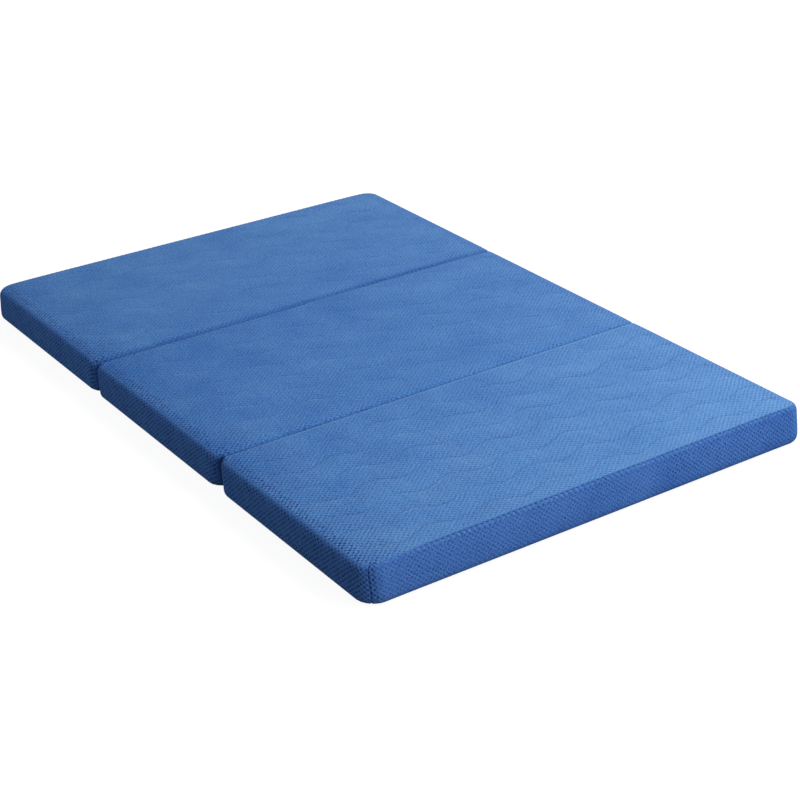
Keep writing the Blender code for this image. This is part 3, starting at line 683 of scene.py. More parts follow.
def simulatedPuffs(panel, x, q, pinned):
    # The sheet's height over its frame once the cloth has settled, as a share of the cap
    gridX, gridQ = np.meshgrid(x, q)
    gridY = gridQ + waveShift(panel, gridX, gridQ)
    start = puffing["start"] * arcPuffs(x, q, pinned)
    points = np.stack([gridX, gridY, start], -1).reshape(-1, 3)
    index = np.arange(gridX.size).reshape(gridX.shape)
    mesh = bpy.data.meshes.new("puffs")
    mesh.from_pydata(points.tolist(), [], gridFaces(index).tolist())
    sheet = bpy.data.objects.new("puffs", mesh)
    scene.collection.objects.link(sheet)
    sewn = np.zeros(index.shape, bool)
    sewn[pinned] = True
    sewn[:, [0, -1]] = True
    group = sheet.vertex_groups.new(name="sewn")
    group.add(index[sewn].tolist(), 1.0, "REPLACE")
    cloth = sheet.modifiers.new("cloth", "CLOTH")
    settings = cloth.settings
    settings.quality = puffing["quality"]
    settings.mass = puffing["mass"]
    settings.tension_stiffness = settings.compression_stiffness = puffing["stiffness"]
    settings.bending_stiffness = puffing["bending"]
    settings.vertex_group_mass = "sewn"
    settings.use_pressure = True
    settings.uniform_pressure_force = puffing["pressure"]
    settings.shrink_min = -puffing["spare"]
    settings.effector_weights.gravity = 0
    cloth.collision_settings.use_collision = False
    cloth.point_cache.frame_end = puffing["frames"]
    for number in range(1, puffing["frames"] + 1):
        scene.frame_set(number)
    graph = bpy.context.evaluated_depsgraph_get()
    evaluated = sheet.evaluated_get(graph)
    shape = np.zeros(len(points) * 3)
    evaluated.data.vertices.foreach_get("co", shape)
    scene.frame_set(1)
    bpy.data.objects.remove(sheet)
    height = shape.reshape(*gridX.shape, 3)[..., 2]
    return np.clip(height / puffing["cap"], -1, 1)


def puffs(panel):
    # Columns, rows and heights, where 1 is the height that a tenth of the face stands above
    x, q, pinned = puffGrid(panel)
    height = simulatedPuffs(panel, x, q, pinned)
    print(f"{panel['name']} puffs: {height.min():.2f} to {height.max():.2f} of the cap")
    height = height / max(1e-6, np.percentile(height, 90))
    return x, q, height


# Quilted top

seams = {
    "lines": (0, 0.4, 0.9, 1.6, 2.6),  # mm from the seam to the grid lines beside it
    "dipWidth": 1.2 * mm,
    "scallop": 7.65,  # mm between the stitches that pull the edge in
    "drawReach": 3 * mm,
    "ridgeBelow": 3 * mm,  # from the seam to the middle of the band's ridge
    "ridgeWidth": 1.8 * mm,
    # painted highlight on the band's ridge between two stitches
    "ridgeHighlight": 0.25,
    "liftReach": 8 * mm,
    "slitLight": 0.95,  # how much of a slit's shade the lips lose just below the seam where it is closed
    "slitLightReach": 5 * mm,
    "shadeWidth": 1.4 * mm,
    "lip": 0.45 * mm,  # the edge on the foot side of each hinge stands up a little, and its colour is lightened there, a painted highlight
    "lipInside": 4 * mm,
    "lipWidth": 2.4 * mm,
    "lipRun": 50 * mm,
    # painted highlight along the lip, as a share of light yarn
    "lipHighlight": 0.34,
    "quiltThickness": 4.5 * mm,
    "quiltRings": ((0.45, 0.3), (1.0, 1.0)),  # shares of the way in and down to the quilt's underside
}


def topSurface(panel):
    # The quilted face as a grid. Along each axis a point walks over the flat and round the edge to the
    # seam: plan = flat + radius * sin(turned) + bulge * (turned / seam angle)^2, and
    # drop = radius * (1 - cos(turned)). At a corner the two drops are blended by the share of each axis.
    side = edgeKinds["side"]
    stepX = knit["across"] / knit["stepsPerCell"] * mm
    stepY = knit["along"] / knit["stepsPerCell"] * mm

    def walk(half, edge):
        return half - edge["lean"] - edge["top"] + edge["top"] * math.radians(edge["seam"])

    def gridLines(front, back, step):
        # Whole steps from the middle, and closer lines beside the two seams
        near = np.array(seams["lines"]) * mm
        last = near[-1] + step / 2
        steps = np.arange(-math.floor((front - last) / step), math.floor((back - last) / step) + 1) * step
        return np.concatenate([near - front, steps, (back - near)[::-1]])

    ends = [edgeKinds[kind] for kind in panel["ends"]]
    walkX = walk(panel["halfWidth"], side)
    walkY = [walk(panel["halfLength"], edge) for edge in ends]
    u = gridLines(walkX, walkX, stepX)
    v = gridLines(*walkY, stepY)
    isBack = v > 0

    def each(key):
        return np.where(isBack, ends[1][key], ends[0][key])

    def edgePlan(distance, half, radius, seam, bulge):
        turned = np.clip((distance - (half - radius)) / radius, 0, seam)
        plan = np.minimum(distance, half - radius) + radius * np.sin(turned) + bulge * (turned / seam) ** 2
        return plan, turned / seam

    sideSeam = math.radians(side["seam"])
    endSeam = np.radians(each("seam"))
    planU, reachedU = edgePlan(np.abs(u), panel["halfWidth"], side["top"], sideSeam, 0)
    planV, reachedV = edgePlan(np.abs(v), panel["halfLength"] - each("lean"), each("top"), endSeam,
                               each("bulge"))
    insetX = side["top"] * (1 - math.sin(sideSeam))
    insetY = each("lean") + each("top") * (1 - np.sin(endSeam)) - each("bulge")
    radius = cornerRadius(panel, u > 0, isBack[:, None], "cornerTop")
    radiusX = np.maximum(radius - insetX, leastCorner)
    radiusY = np.maximum(radius - insetY[:, None], leastCorner)
    x, y, a, b = roundedGrid(planU * np.sign(u), planV * np.sign(v), panel["halfWidth"] - insetX,
                             panel["halfLength"] - insetY, radiusX, radiusY)
    total = np.maximum(a**2 + b**2, 1e-9)
    reached = np.maximum(reachedU, reachedV[:, None])
    dropX = side["top"] * (1 - np.cos(reached * sideSeam))
    dropY = each("top")[:, None] * (1 - np.cos(reached * endSeam[:, None]))
    return {
        "x": x, "y": y, "drop": (a**2 * dropX + b**2 * dropY) / total,
        "u": (u + x - planU * np.sign(u)) / mm,
        "v": (v[:, None] + y - (planV * np.sign(v))[:, None]) / mm,
        "toSide": np.broadcast_to(walkX - np.abs(u), x.shape),
        "toEnd": np.broadcast_to((np.where(isBack, walkY[1], walkY[0]) - np.abs(v))[:, None], x.shape),
        "isBack": np.broadcast_to(isBack[:, None], x.shape),
        "reached": np.broadcast_to(reachedV[:, None], x.shape),
        "endArc": b**2 * reached**2 / total,
    }


def seamReach(panel, x):
    # How far the end seams are pulled in along the width: slack by the left corners, tight to the right ones
    left = smoothStep(20 * mm, 110 * mm, panel["halfWidth"] + x)
    return left * smoothStep(8 * mm, 30 * mm, panel["halfWidth"] - x)


def closing(panel, x, isBack):
    # 0 where the crease is whole, 1 where it is shallow
    front, back = [sum((share * smoothStep(left, right, x) for left, right, share in steps), 0 * x)
                   for steps in bothEnds(panel, "closes")]
    return np.where(isBack, back, front)


def unfaded(panel, x, isBack):
    # Share of the shade that is left
    return 1 - atEnd(panel, isBack, "fade") * closing(panel, x, isBack)


def creaseLift(panel, x, isBack):
    return atEnd(panel, isBack, "lift") * closing(panel, x, isBack)


def stitchWave(x):
    # 1 at a stitch, 0 halfway to the next
    return 0.5 + 0.5 * np.cos(2 * np.pi * x / mm / seams["scallop"])


def seamPull(panel, x, isBack):
    # Depth of the seam at the ends: dip * (0.1 + 0.9 * stitch)
    return atEnd(panel, isBack, "dip") * (0.1 + 0.9 * stitchWave(x)) * seamReach(panel, x)


def seamDraw(panel, x, isBack, away):
    # Sideways move into the panel: draw * stitch * exp(-(away / drawReach)^2)
    fall = np.exp(-(away / seams["drawReach"]) ** 2)
    return atEnd(panel, isBack, "draw") * stitchWave(x) * seamReach(panel, x) * fall


def seamShade(panel, x, isBack, away):
    # exp(-(distance from the seam / width)^2), darker at each stitch
    strength = atEnd(panel, isBack, "seamShade") * unfaded(panel, x, isBack)
    fall = np.exp(-(away / seams["shadeWidth"]) ** 2)
    return strength * (0.3 + 0.7 * stitchWave(x)) * seamReach(panel, x) * fall


def topOpenness(panel, x, y):
    # The knit is stretched open along the long edges, most on the left, and at the hinge corners, but lies
    # closed over the rounded edge itself
    edge = panel["halfWidth"] - np.abs(x)
    left = (x < 0) * 1.0
    line = smoothStep(24 * mm, 13 * mm, edge) * smoothStep(4 * mm, 7 * mm, edge)
    wide = smoothStep(110 * mm, 20 * mm, edge)
    toHinge = panel["halfLength"] - np.abs(y)
    return np.clip((0.15 + 0.85 * left) * line + (0.10 + 0.22 * left) * wide
                   + 0.25 * left * smoothStep(60 * mm, 5 * mm, toHinge) * wide + 0.10, 0, 1.3)


def toRow(panel, q):
    # Signed distance to the nearest sewn row
    away = q[..., None] - sewnRows(panel)
    return np.take_along_axis(away, np.abs(away).argmin(-1)[..., None], -1)[..., 0]


def inRelief(panel, x, y):
    # 0 at the rim of the top, 1 where the quilting has its full height
    return smoothStep(quilting["reliefFrom"], quilting["reliefFull"], toRim(panel, x, y))


def rowGroove(panel, x, y, width):
    # exp(-(distance to the nearest sewn row / width)^2), up to where the row ends
    nearest = toRow(panel, rowCoordinate(panel, x, y))
    return np.exp(-(nearest / width) ** 2) * smoothStep(quilting["rowFrom"], quilting["rowFull"],
                                                        toRim(panel, x, y))


def puckers(panel, x, q):
    # 0 to 1: short folds of the face beside the sewn rows, where the slow noise is high
    size = quilting["pucker"]
    fold = np.exp(-((toRow(panel, q) - size["from"]) / size["width"]) ** 2)
    return fold * smoothStep(0.05, 0.45, drift(x, q * 2, size["run"], 4 + panel["middle"] * 11))


def topHeight(panel, x, y, puffed):
    # Height of the face: seam height + crown - channel + puffs - the narrow groove of each sewn row
    gridX, gridQ, height = puffed
    q = rowCoordinate(panel, x, y)
    raised = sampleGrid(height, np.interp(q, gridQ, np.arange(len(gridQ))),
                        np.interp(x, gridX, np.arange(len(gridX))))
    inner = inRelief(panel, x, y)
    slow = quilting["slow"] * drift(x, y, quilting["slowRun"], panel["middle"] * 7) * inner
    creases = quilting["crease"] * drift(x * 0.3, y, quilting["creaseRun"], 2 + panel["middle"] * 3) * inner
    creases = creases + quilting["pucker"]["height"] * puckers(panel, x, q) * inner
    return (edgeHeight + crown(panel, x, y) - inner * quilting["channel"] + inner * quilting["puff"] * raised
            - quilting["grooveDepth"] * rowGroove(panel, x, y, quilting["grooveWidth"]) + slow + creases)


def coverToneAndPaintedLight(panel, x, y, more):
    # Share of light yarn that a cover has more than the usual, with slopes across its width and along it that
    # are painted light and shade; more adds the painted highlights
    level, across, along = knit["toneAndPaintedLight"][panel["name"]]
    return level + across * x / panel["halfWidth"] + along * y / panel["halfLength"] + more


def sewnShade(panel, x, y):
    # Shade of the narrow groove along each sewn row, uneven along it
    uneven = np.clip(0.5 + 0.9 * drift(x, y, quilting["shadeRun"], panel["middle"] * 9), 0, 1)
    return quilting["shade"][panel["name"]] * uneven * rowGroove(panel, x, y, quilting["shadeWidth"])


def addTop(panel, puffed, material):
    surface = topSurface(panel)
    x, y, isBack, toEnd, reached = [surface[key] for key in ("x", "y", "isBack", "toEnd", "reached")]
    z = topHeight(panel, x, y, puffed) - surface["drop"]
    z = z - seamPull(panel, x, isBack) * np.exp(-(toEnd / seams["dipWidth"]) ** 2)
    y = y - np.where(isBack, 1, -1) * seamDraw(panel, x, isBack, toEnd)
    z = z + creaseLift(panel, x, isBack) * surface["endArc"]
    hinged = isBack * (panel["name"] != "head") * seamReach(panel, x)
    lip = hinged * np.exp(-((toEnd - seams["lipInside"]) / seams["lipWidth"]) ** 2)
    z = z + seams["lip"] * lip * (0.7 + 0.5 * drift(x, y, seams["lipRun"], panel["middle"] * 4))
    # The knit's holes close towards the seams
    flat = smoothStep(0.5 * mm, 4 * mm, np.minimum(surface["toSide"] + 3 * mm, toEnd))
    z = z - knit["dimple"] * flat * holeDepth(surface["u"], surface["v"], knit["across"], knit["along"])
    points = np.stack([x, y + panel["middle"], z], -1).reshape(-1, 3)
    uv = np.stack([surface["u"], surface["v"]], -1).reshape(-1, 2)

    arc = atEnd(panel, isBack, "arcShade") * unfaded(panel, x, isBack)
    pucker = puckers(panel, x, rowCoordinate(panel, x, y)) * inRelief(panel, x, y)
    shades = {
        "openness": topOpenness(panel, x, y) * (1 - 0.7 * lip) * (1 - 0.8 * reached * (arc > 0)),
        "fold": np.maximum.reduce([seamShade(panel, x, isBack, toEnd), arc * smoothStep(0.05, 0.65, reached),
                                   sewnShade(panel, x, y)]),
        # painted highlights on the lips and on the puckers' lit side
        "toneAndPaintedLight": coverToneAndPaintedLight(panel, x, y, seams["lipHighlight"] * lip + quilting["pucker"]["toneAndPaintedLight"] * pucker),
    }

    # The underside of the quilt: two rings inside the seam and a flat cap
    index = np.arange(x.size).reshape(x.shape)
    rim = gridRim(index)
    seam = points[rim]
    fromMiddle = seam[:, 1] - panel["middle"]
    inX, inFront, inBack = [edgeKinds[kind]["top"] * math.sin(math.radians(edgeKinds[kind]["seam"]))
                            for kind in ("side", *panel["ends"])]
    inY = np.where(seam[:, 1] > panel["middle"], inBack, inFront)
    topOfSeam = seam[:, 2]
    faces = [gridFaces(index)]
    last = rim
    for share, level in seams["quiltRings"]:
        ring = seam.copy()
        ring[:, 0] *= 1 - share * inX / panel["halfWidth"]
        ring[:, 1] = panel["middle"] + fromMiddle * (1 - share * inY / panel["halfLength"])
        ring[:, 2] = topOfSeam + (edgeHeight - seams["quiltThickness"] - topOfSeam) * level
        following = np.arange(len(points), len(points) + len(ring))
        points = np.concatenate([points, ring])
        faces.append(ringFaces(following, last))
        last = following
    faces.append(last[::-1][None, :])
    # Each point of a ring takes the uv and the shades of its point on the seam
    alike = np.concatenate([index.ravel()] + [rim] * len(seams["quiltRings"]))
    piece = addPiece(panel["name"] + "_quilted_top", material, points, faces, uv[alike],
                     values={key: shade.ravel()[alike] for key, shade in shades.items()}, body=panel["body"],
                     replaced=[panel["name"] + "_top_cover"])


# Sewing thread: one stitch in every pitch, the length showing above the cloth

thread = {
    "colour": "#3868B0",
    "light": "#4C7DC4",
    "twist": 1.2 * mm,
    "endInset": 12 * mm,  # from the side of the panel to a row's last stitch
    "proud": 0.1 * mm,  # height of the quilting stitches' middle above the cloth
    "quilt": {"pitch": 5.4 * mm, "length": 4.0 * mm, "width": 0.6 * mm, "height": 0.45 * mm, "sag": 0.3 * mm},
    "seam": {"pitch": 3.4 * mm, "length": 2.5 * mm, "width": 0.6 * mm, "height": 0.45 * mm, "sag": 0.2 * mm},
}


def threadMaterial():
    # Spun polyester thread: matt, with a slight lustre along its twist. A wave texture of scale 1 is
    # 2 pi / 20 long.
    material, tree, shader = newMaterial("spun polyester sewing thread", {
        "Roughness": 0.7, "Specular IOR Level": 0.2})
    place = addNode(tree, "TexCoord")
    twist = addNode(tree, "TexWave", {"Vector": place.outputs["Object"],
                                      "Scale": 2 * math.pi / 20 / thread["twist"]},
                    bands_direction="DIAGONAL")
    colour = addNode(tree, "Mix", {0: twist.outputs["Fac"], 6: linear(thread["colour"]),
                                   7: linear(thread["light"])}, data_type="RGBA")
    setInputs(tree, shader, {"Base Color": colour})
    return material


def addStitches(name, panel, material, kind, lines):
    # lines: pairs of points (n, 3) and the outward direction at each. One stitch lies between each two
    # neighbouring points.
    size = thread[kind]
    centres = np.concatenate([(line[1:] + line[:-1]) / 2 for line, _ in lines])
    along = np.concatenate([line[1:] - line[:-1] for line, _ in lines])
    along /= np.linalg.norm(along, axis=1, keepdims=True)
    up = np.concatenate([(out[1:] + out[:-1]) / 2 for _, out in lines])
    up -= along * (up * along).sum(1, keepdims=True)
    up /= np.linalg.norm(up, axis=1, keepdims=True)
    points, faces = capsules(centres, along, up, size["length"], size["width"], size["height"], size["sag"])
    return addPiece(name, material, points, faces, body=panel["body"])


def addQuiltingThread(panel, puffed, material):
    # One line of stitches along each sewn row
    reach = panel["halfWidth"] - thread["endInset"]
    x = np.arange(-reach, reach, thread["quilt"]["pitch"])
    lines = []
    for row in sewnRows(panel):
        y = row + waveShift(panel, x, row)
        z = topHeight(panel, x, y, puffed) + thread["proud"]
        lines.append((np.stack([x, y + panel["middle"], z], -1), np.tile([0.0, 0.0, 1.0], (len(x), 1))))
    addStitches(panel["name"] + "_quilting_thread", panel, material, "quilt", lines)


# Mesh band round a panel, with its zip opening

band = {
    "thickness": 2 * mm,
    "seamGap": 0.05 * mm,
    "depth": edgeHeight + 5 * mm,  # from seam to seam, near enough to place the rows of the grid
    "gridDepth": 56 * mm,
    "step": 1.6 * mm,
    "cornerStep": 0.8 * mm,
    "innerRows": 9,
    "slotDepth": 2.12 * mm,  # the knit is turned in under the zip's tape
    "slotHalf": 5.4 * mm,
    "slotThin": 0.6 * mm,  # how much deeper its inner face lies there
    "puff": 0.5 * mm,
    "puffRun": 130 * mm,
    "puffEdge": 40 * mm,
    "wrinkle": 0.2 * mm,
    "wrinkleRun": 30 * mm,
    "bulgeEnd": 14 * mm,  # how far below the seam its bulge has gone
    "leanPower": 1.3,
    "endShadeSlope": -0.10,  # painted light and shade across an end: change of the light yarn's share from its middle to its right corner
    "leftPaintedLight": 0.12,  # painted light: the same share more on the left side, which lies in shade
    "butt": {"foot": (-1, -1), "head": (-1, 1)},  # the corner at which the band's two ends are sewn together
    "buttAside": 2.5,  # mm from the middle of the corner towards the foot end
    "buttDepth": 0.9 * mm,
    "buttWidth": 0.8,  # mm along the band
    "buttShade": 0.6,
    "buttHoles": (5.5, 2.5, 0.7),  # beside it the knit is stretched: mm away, mm wide, how much more open
}


def bandLevels(kind, share):
    # (inset, height) down the outside: the top arc from the seam, the straight wall, the bottom arc
    edge = edgeKinds[kind]
    top, base = edge["top"], edge["base"]
    start = math.radians(edge["seam"]) + band["seamGap"] / top
    lengths = np.array([top * (math.pi / 2 - start), edgeHeight - top - base, base * math.pi / 2])
    ends = np.cumsum(lengths)
    s = ends[-1] * share
    turn = start + np.clip(s / top, 0, math.pi / 2 - start)
    under = np.clip((s - ends[1]) / base, 0, math.pi / 2)
    inset = top * (1 - np.sin(turn)) + base * (1 - np.cos(under))
    straight = np.clip(s - ends[0], 0, lengths[1])
    height = edgeHeight - top + top * np.cos(turn) - straight - base * np.sin(under)
    lean = edge["lean"] * (1 - np.clip(s / ends[1], 0, 1)) ** band["leanPower"]
    return inset + lean - edge["bulge"] * smoothStep(band["bulgeEnd"], 0, s), height


def bandStations(panel):
    # Once round the plan from the front left corner: multipliers of the core rectangle's half sides and
    # the outward direction (a, b), which turns only round the corners
    halfX, halfY = panel["halfWidth"], panel["halfLength"]
    front, back = bothEnds(panel, "cornerBase")
    parts = []

    def straight(startX, startY, endX, endY, a, b, length):
        t = np.arange(round(length / band["step"])) / round(length / band["step"])
        parts.append((startX + (endX - startX) * t, startY + (endY - startY) * t, a + 0 * t, b + 0 * t))

    def corner(x, y, quarter, radius):
        count = round(radius * math.pi / 2 / band["cornerStep"])
        t = (quarter + np.arange(count) / count) * math.pi / 2
        parts.append((x + 0 * t, y + 0 * t, np.round(np.sin(t), 12), np.round(-np.cos(t), 12)))

    straight(-1, -1, 1, -1, 0, -1, 2 * halfX - front[0] - front[1])
    corner(1, -1, 0, front[1])
    straight(1, -1, 1, 1, 1, 0, 2 * halfY - front[1] - back[1])
    corner(1, 1, 1, back[1])
    straight(1, 1, -1, 1, 0, 1, 2 * halfX - back[0] - back[1])
    corner(-1, 1, 2, back[0])
    straight(-1, 1, -1, -1, -1, 0, 2 * halfY - front[0] - back[0])
    corner(-1, -1, 3, front[0])
    return [np.concatenate(column) for column in zip(*parts)]


def bandSurface(panel):
    # Each level is a rounded rectangle: core * multiplier + radius * direction. Height is shared between
    # the side's and the end's profile by a^2 and b^2.
    mx, my, a, b = bandStations(panel)
    near = np.array(seams["lines"]) * mm / band["depth"]
    share = np.concatenate([near[:-1], np.linspace(near[-1], 1, round(band["gridDepth"] / band["step"]))])
    sideInset, sideHeight = bandLevels("side", share)
    isRight = (a > 0) | ((a == 0) & (mx > 0))
    isBack = (b > 0) | ((b == 0) & (my > 0))
    cores = []
    for atBack, kind in enumerate(panel["ends"]):
        inset, height = bandLevels(kind, share)
        rise = np.clip((height + sideHeight) / 2 / edgeHeight, 0, 1)[:, None]
        low = cornerRadius(panel, isRight, atBack, "cornerBase")
        radius = low + (cornerRadius(panel, isRight, atBack, "cornerTop") - low) * rise
        radiusX = np.maximum(radius - sideInset[:, None], leastCorner)
        radiusY = np.maximum(radius - inset[:, None], leastCorner)
        coreX = panel["halfWidth"] - sideInset[:, None] - radiusX
        coreY = panel["halfLength"] - inset[:, None] - radiusY
        cores.append((coreX, coreY, radiusX, radiusY, height[:, None]))
    coreX, _, radiusX, radiusY, endHeight = [np.where(isBack, second, first) for first, second in zip(*cores)]
    toBack = (my + 1) / 2
    x = mx * coreX + a * radiusX
    y = cores[1][1] * toBack - cores[0][1] * (1 - toBack) + b * radiusY
    return x, y, a * a * sideHeight[:, None] + b * b * endHeight + crown(panel, x, y), a, b, isBack


def bandOpenness(x, y, z, a, b):
    # Most open on the left side, and on the foot end towards its right corner
    left = smoothStep(0.3, 0.9, -a)
    toRight = smoothStep(0.02, 0.24, x)
    low = smoothStep(edgeHeight + 1 * mm, edgeHeight - 4 * mm, z)
    slow = 0.08 * drift(x + y, z, 0.11, 1.0)
    return np.clip((0.10 + 0.60 * left + 0.26 * toRight) * low + 0.10 + slow, 0, 1)


def addBand(panel, material):
    # A point of the outside is surface + normal * (puff + wrinkles - dimples - seam pull - zip slot - butt)
    name = panel["name"]
    x, y, z, a, b, isBack = bandSurface(panel)
    points = np.stack([x, y, z], -1)
    along = np.linalg.norm(np.roll(points, -1, 1) - points, axis=2)[len(x) // 2] / mm
    u = np.concatenate([[0], np.cumsum(along)])
    around = round(u[-1] / knit["bandAcross"]) * knit["bandAcross"]
    u = u[:-1] * around / u[-1]
    downwards = np.linalg.norm(np.diff(points, axis=0), axis=2)
    v = np.concatenate([np.zeros((1, x.shape[1])), np.cumsum(downwards, 0)]) / mm
    down = v * mm
    normal = np.cross(np.gradient(points, axis=0), np.roll(points, -1, 1) - np.roll(points, 1, 1))
    normal /= np.linalg.norm(normal, axis=2, keepdims=True)
    normal *= np.sign((normal[..., 0] * x).mean())

    # Zip opening on the right side
    low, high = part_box(name + "_zip_tape")
    fromMiddle = np.abs(z - (low.z + high.z) / 2)
    slotEnd = high.y - panel["middle"]
    inZip = smoothStep(band["slotHalf"] + 1.2 * mm, band["slotHalf"], fromMiddle)
    inZip = inZip * (x > 0.9 * panel["halfWidth"])
    inZip = inZip * smoothStep(slotEnd + 1.5 * mm, slotEnd - 0.5 * mm, np.abs(y))

    wall = smoothStep(4 * mm, 16 * mm, z) * smoothStep(edgeHeight - 2 * mm, edgeHeight - 14 * mm, z)
    awayX = smoothStep(0, band["puffEdge"], panel["halfWidth"] - np.abs(x))
    awayY = smoothStep(0, band["puffEdge"], panel["halfLength"] - np.abs(y))
    uneven = 0.6 + 0.4 * drift(x + y, z, band["puffRun"], panel["middle"] * 5)
    puff = band["puff"] * wall * (b * b * awayX + a * a * awayY) * uneven
    dimples = knit["dimple"] * holeDepth(u, v, knit["bandAcross"], knit["bandAlong"])
    dip = b * b * seamPull(panel, x, isBack) * np.exp(-(down / seams["dipWidth"]) ** 2)
    slant = drift(0.5 * (x + y) + 0.6 * z, z - 0.35 * (x + y), band["wrinkleRun"], panel["middle"] * 3)
    slack = band["wrinkle"] * wall * slant
    between = b * b * (1 - stitchWave(x)) * seamReach(panel, x) * np.exp(
        -((down - seams["ridgeBelow"]) / seams["ridgeWidth"]) ** 2)
    ridge = atEnd(panel, isBack, "ridge") * between
    shift = (puff + slack + ridge - dimples) * (1 - inZip) - dip - band["slotDepth"] * inZip
    fromButt = np.full(len(u), 1e3)
    if name in band["butt"]:
        cornerX, cornerY = band["butt"][name]
        fromButt = u - u[np.argmax(a * cornerX + b * cornerY)] - band["buttAside"]
        shift = shift - band["buttDepth"] * np.exp(-(fromButt / band["buttWidth"]) ** 2)
    outside = points + normal * shift[..., None]
    outside[..., 1] -= b * seamDraw(panel, x, isBack, down)
    outside[..., 2] += b * b * creaseLift(panel, x, isBack) * np.exp(-(down / seams["liftReach"]) ** 2)

    # The inner face has few rows, which take their shades from the outer ones
    rows = np.linspace(len(x) - 1, 0, band["innerRows"]).round().astype(int)
    alike = np.concatenate([np.arange(len(x)), rows])
    inside = points[rows] - normal[rows] * (band["thickness"] + band["slotThin"] * inZip[rows])[..., None]
    every = np.concatenate([outside, inside])
    every[..., 1] += panel["middle"]

    holesAway, holesWide, holesOpen = band["buttHoles"]
    lit = seams["slitLight"] * closing(panel, x, isBack) * np.exp(-(down / seams["slitLightReach"]) ** 2)
    slit = atEnd(panel, isBack, "slitShade") * (1 - lit) * smoothStep(0.7, 0.97, np.abs(b))
    butted = np.broadcast_to(band["buttShade"] * np.exp(-(fromButt / band["buttWidth"]) ** 2), x.shape)
    stretched = holesOpen * np.exp(-((fromButt - holesAway) / holesWide) ** 2)
    # Painted highlight on the ridge below the end seams, as a share of light yarn
    wearAndPaintedHighlight = seams["ridgeHighlight"] * between * (atEnd(panel, isBack, "ridge") > 0)
    slope = band["endShadeSlope"] * b * b * x / panel["halfWidth"]
    shades = {
        "openness": bandOpenness(x, y, z, a, b) + stretched,
        "fold": np.maximum.reduce([b * b * seamShade(panel, x, isBack, down), butted, slit]),
        "toneAndPaintedLight": wearAndPaintedHighlight + slope + band["leftPaintedLight"] * smoothStep(0.3, 0.9, -a),
    }
    index = np.arange(len(alike) * len(u)).reshape(len(alike), len(u))
    closed = np.concatenate([index, index[:1]])
    closed = np.concatenate([closed, closed[:, :1]], 1)
    column = np.broadcast_to(np.arange(len(u)), index.shape).ravel()
    uv = np.stack([np.broadcast_to(u, index.shape), v[alike]], -1).reshape(-1, 2)
    addPiece(name + "_mesh_boxing", material, every.reshape(-1, 3), [gridFaces(closed)], uv,
             lap=(column, around), values={key: shade[alike] for key, shade in shades.items()},
             body=panel["body"], replaced=[name + "_boxing"])


# Underside cloth and foam: plates whose lowest and highest levels are whole grids, with rings between

base = {
    "cell": 8 * mm,
    "thickness": 2 * mm,
    "seamGap": 0.35 * mm,  # from the band's lower edge
    "pucker": 0.3 * mm,
    "puckerPitch": 9 * mm,
    "puckerInner": 26 * mm,  # from the rim to where the puckers begin
    "puckerOuter": 9 * mm,  # and to where they have their full height
}
foam = {
    "cell": 20 * mm,
    # inset from the cover's outside and height, mm
    "levels": ((9.4, 2.6), (5.6, 3.5), (3.5, 6.2), (2.7, 10), (2.7, 37), (3.2, 40), (4.6, 42.0)),
    "lowerHingeInset": 3.4,  # mm, the most at the lower hinge, whose bottom edge is sharper
    "colour": "#ECE7D6",
    "shade": "#CDBF9C",
}


def plate(panel, cell, levels):
    # levels: (inset at the sides, insets at the ends, height), from the lowest up
    # Grid lines at sin(crowd * t) / sin(crowd), t from -1 to 1, crowd towards the rim, where the corners turn
    tX, tY = [np.sin(np.linspace(-1, 1, 1 + 2 * round(half / cell)) * crowd) / math.sin(crowd)
              for half, crowd in ((panel["halfWidth"], 1.35), (panel["halfLength"], 1.25))]
    isBack = tY > 0
    corner = cornerRadius(panel, tX > 0, isBack[:, None], "cornerBase")
    index = np.arange(len(tX) * len(tY)).reshape(len(tY), len(tX))
    rim = gridRim(index)
    points, faces, last = [], [], None
    for k, (insetX, insetEnds, height) in enumerate(levels):
        insetY = np.where(isBack, insetEnds[1], insetEnds[0])
        limitX, limitY = panel["halfWidth"] - insetX, panel["halfLength"] - insetY
        radiusX = np.maximum(corner - insetX, leastCorner)
        radiusY = np.maximum(corner - insetY[:, None], leastCorner)
        x, y, _, _ = roundedGrid(tX * limitX, tY * limitY, limitX, limitY, radiusX, radiusY)
        level = np.stack([x, y, np.broadcast_to(height, x.shape)], -1).reshape(-1, 3)
        start = sum(len(block) for block in points)
        whole = k in (0, len(levels) - 1)
        points.append(level if whole else level[rim])
        ring = start + (rim if whole else np.arange(len(rim)))
        if whole:
            faces.append(gridFaces(start + index)[:, ::(-1 if k == 0 else 1)])
        if last is not None:
            faces.append(ringFaces(last, ring))
        last = ring
    return np.concatenate(points), faces, index.shape


def addUnderside(panel, material):
    insetEnds = [edgeKinds[kind]["base"] + base["seamGap"] for kind in panel["ends"]]
    insetX = edgeKinds["side"]["base"] + base["seamGap"]
    points, faces, shape = plate(panel, base["cell"], [(insetX, insetEnds, height)
                                                       for height in (0.0, base["thickness"])])
    # Small puckers along the sewn rim
    below = points[:shape[0] * shape[1]]
    toSide = panel["halfWidth"] - np.abs(below[:, 0])
    toEnd = panel["halfLength"] - np.abs(below[:, 1])
    along = np.where(toSide < toEnd, below[:, 1], below[:, 0])
    pucker = 0.5 + 0.5 * np.cos(2 * np.pi * along / base["puckerPitch"])
    below[:, 2] += base["pucker"] * (0.4 + 0.6 * pucker) * smoothStep(
        base["puckerInner"], base["puckerOuter"], np.minimum(toSide, toEnd))
    uv = points[:, :2] / mm
    points[:, 1] += panel["middle"]
    name = panel["name"]
    addPiece(name + "_underside", material, points, faces, uv, body=panel["body"],
             replaced=[name + "_base_cover"])


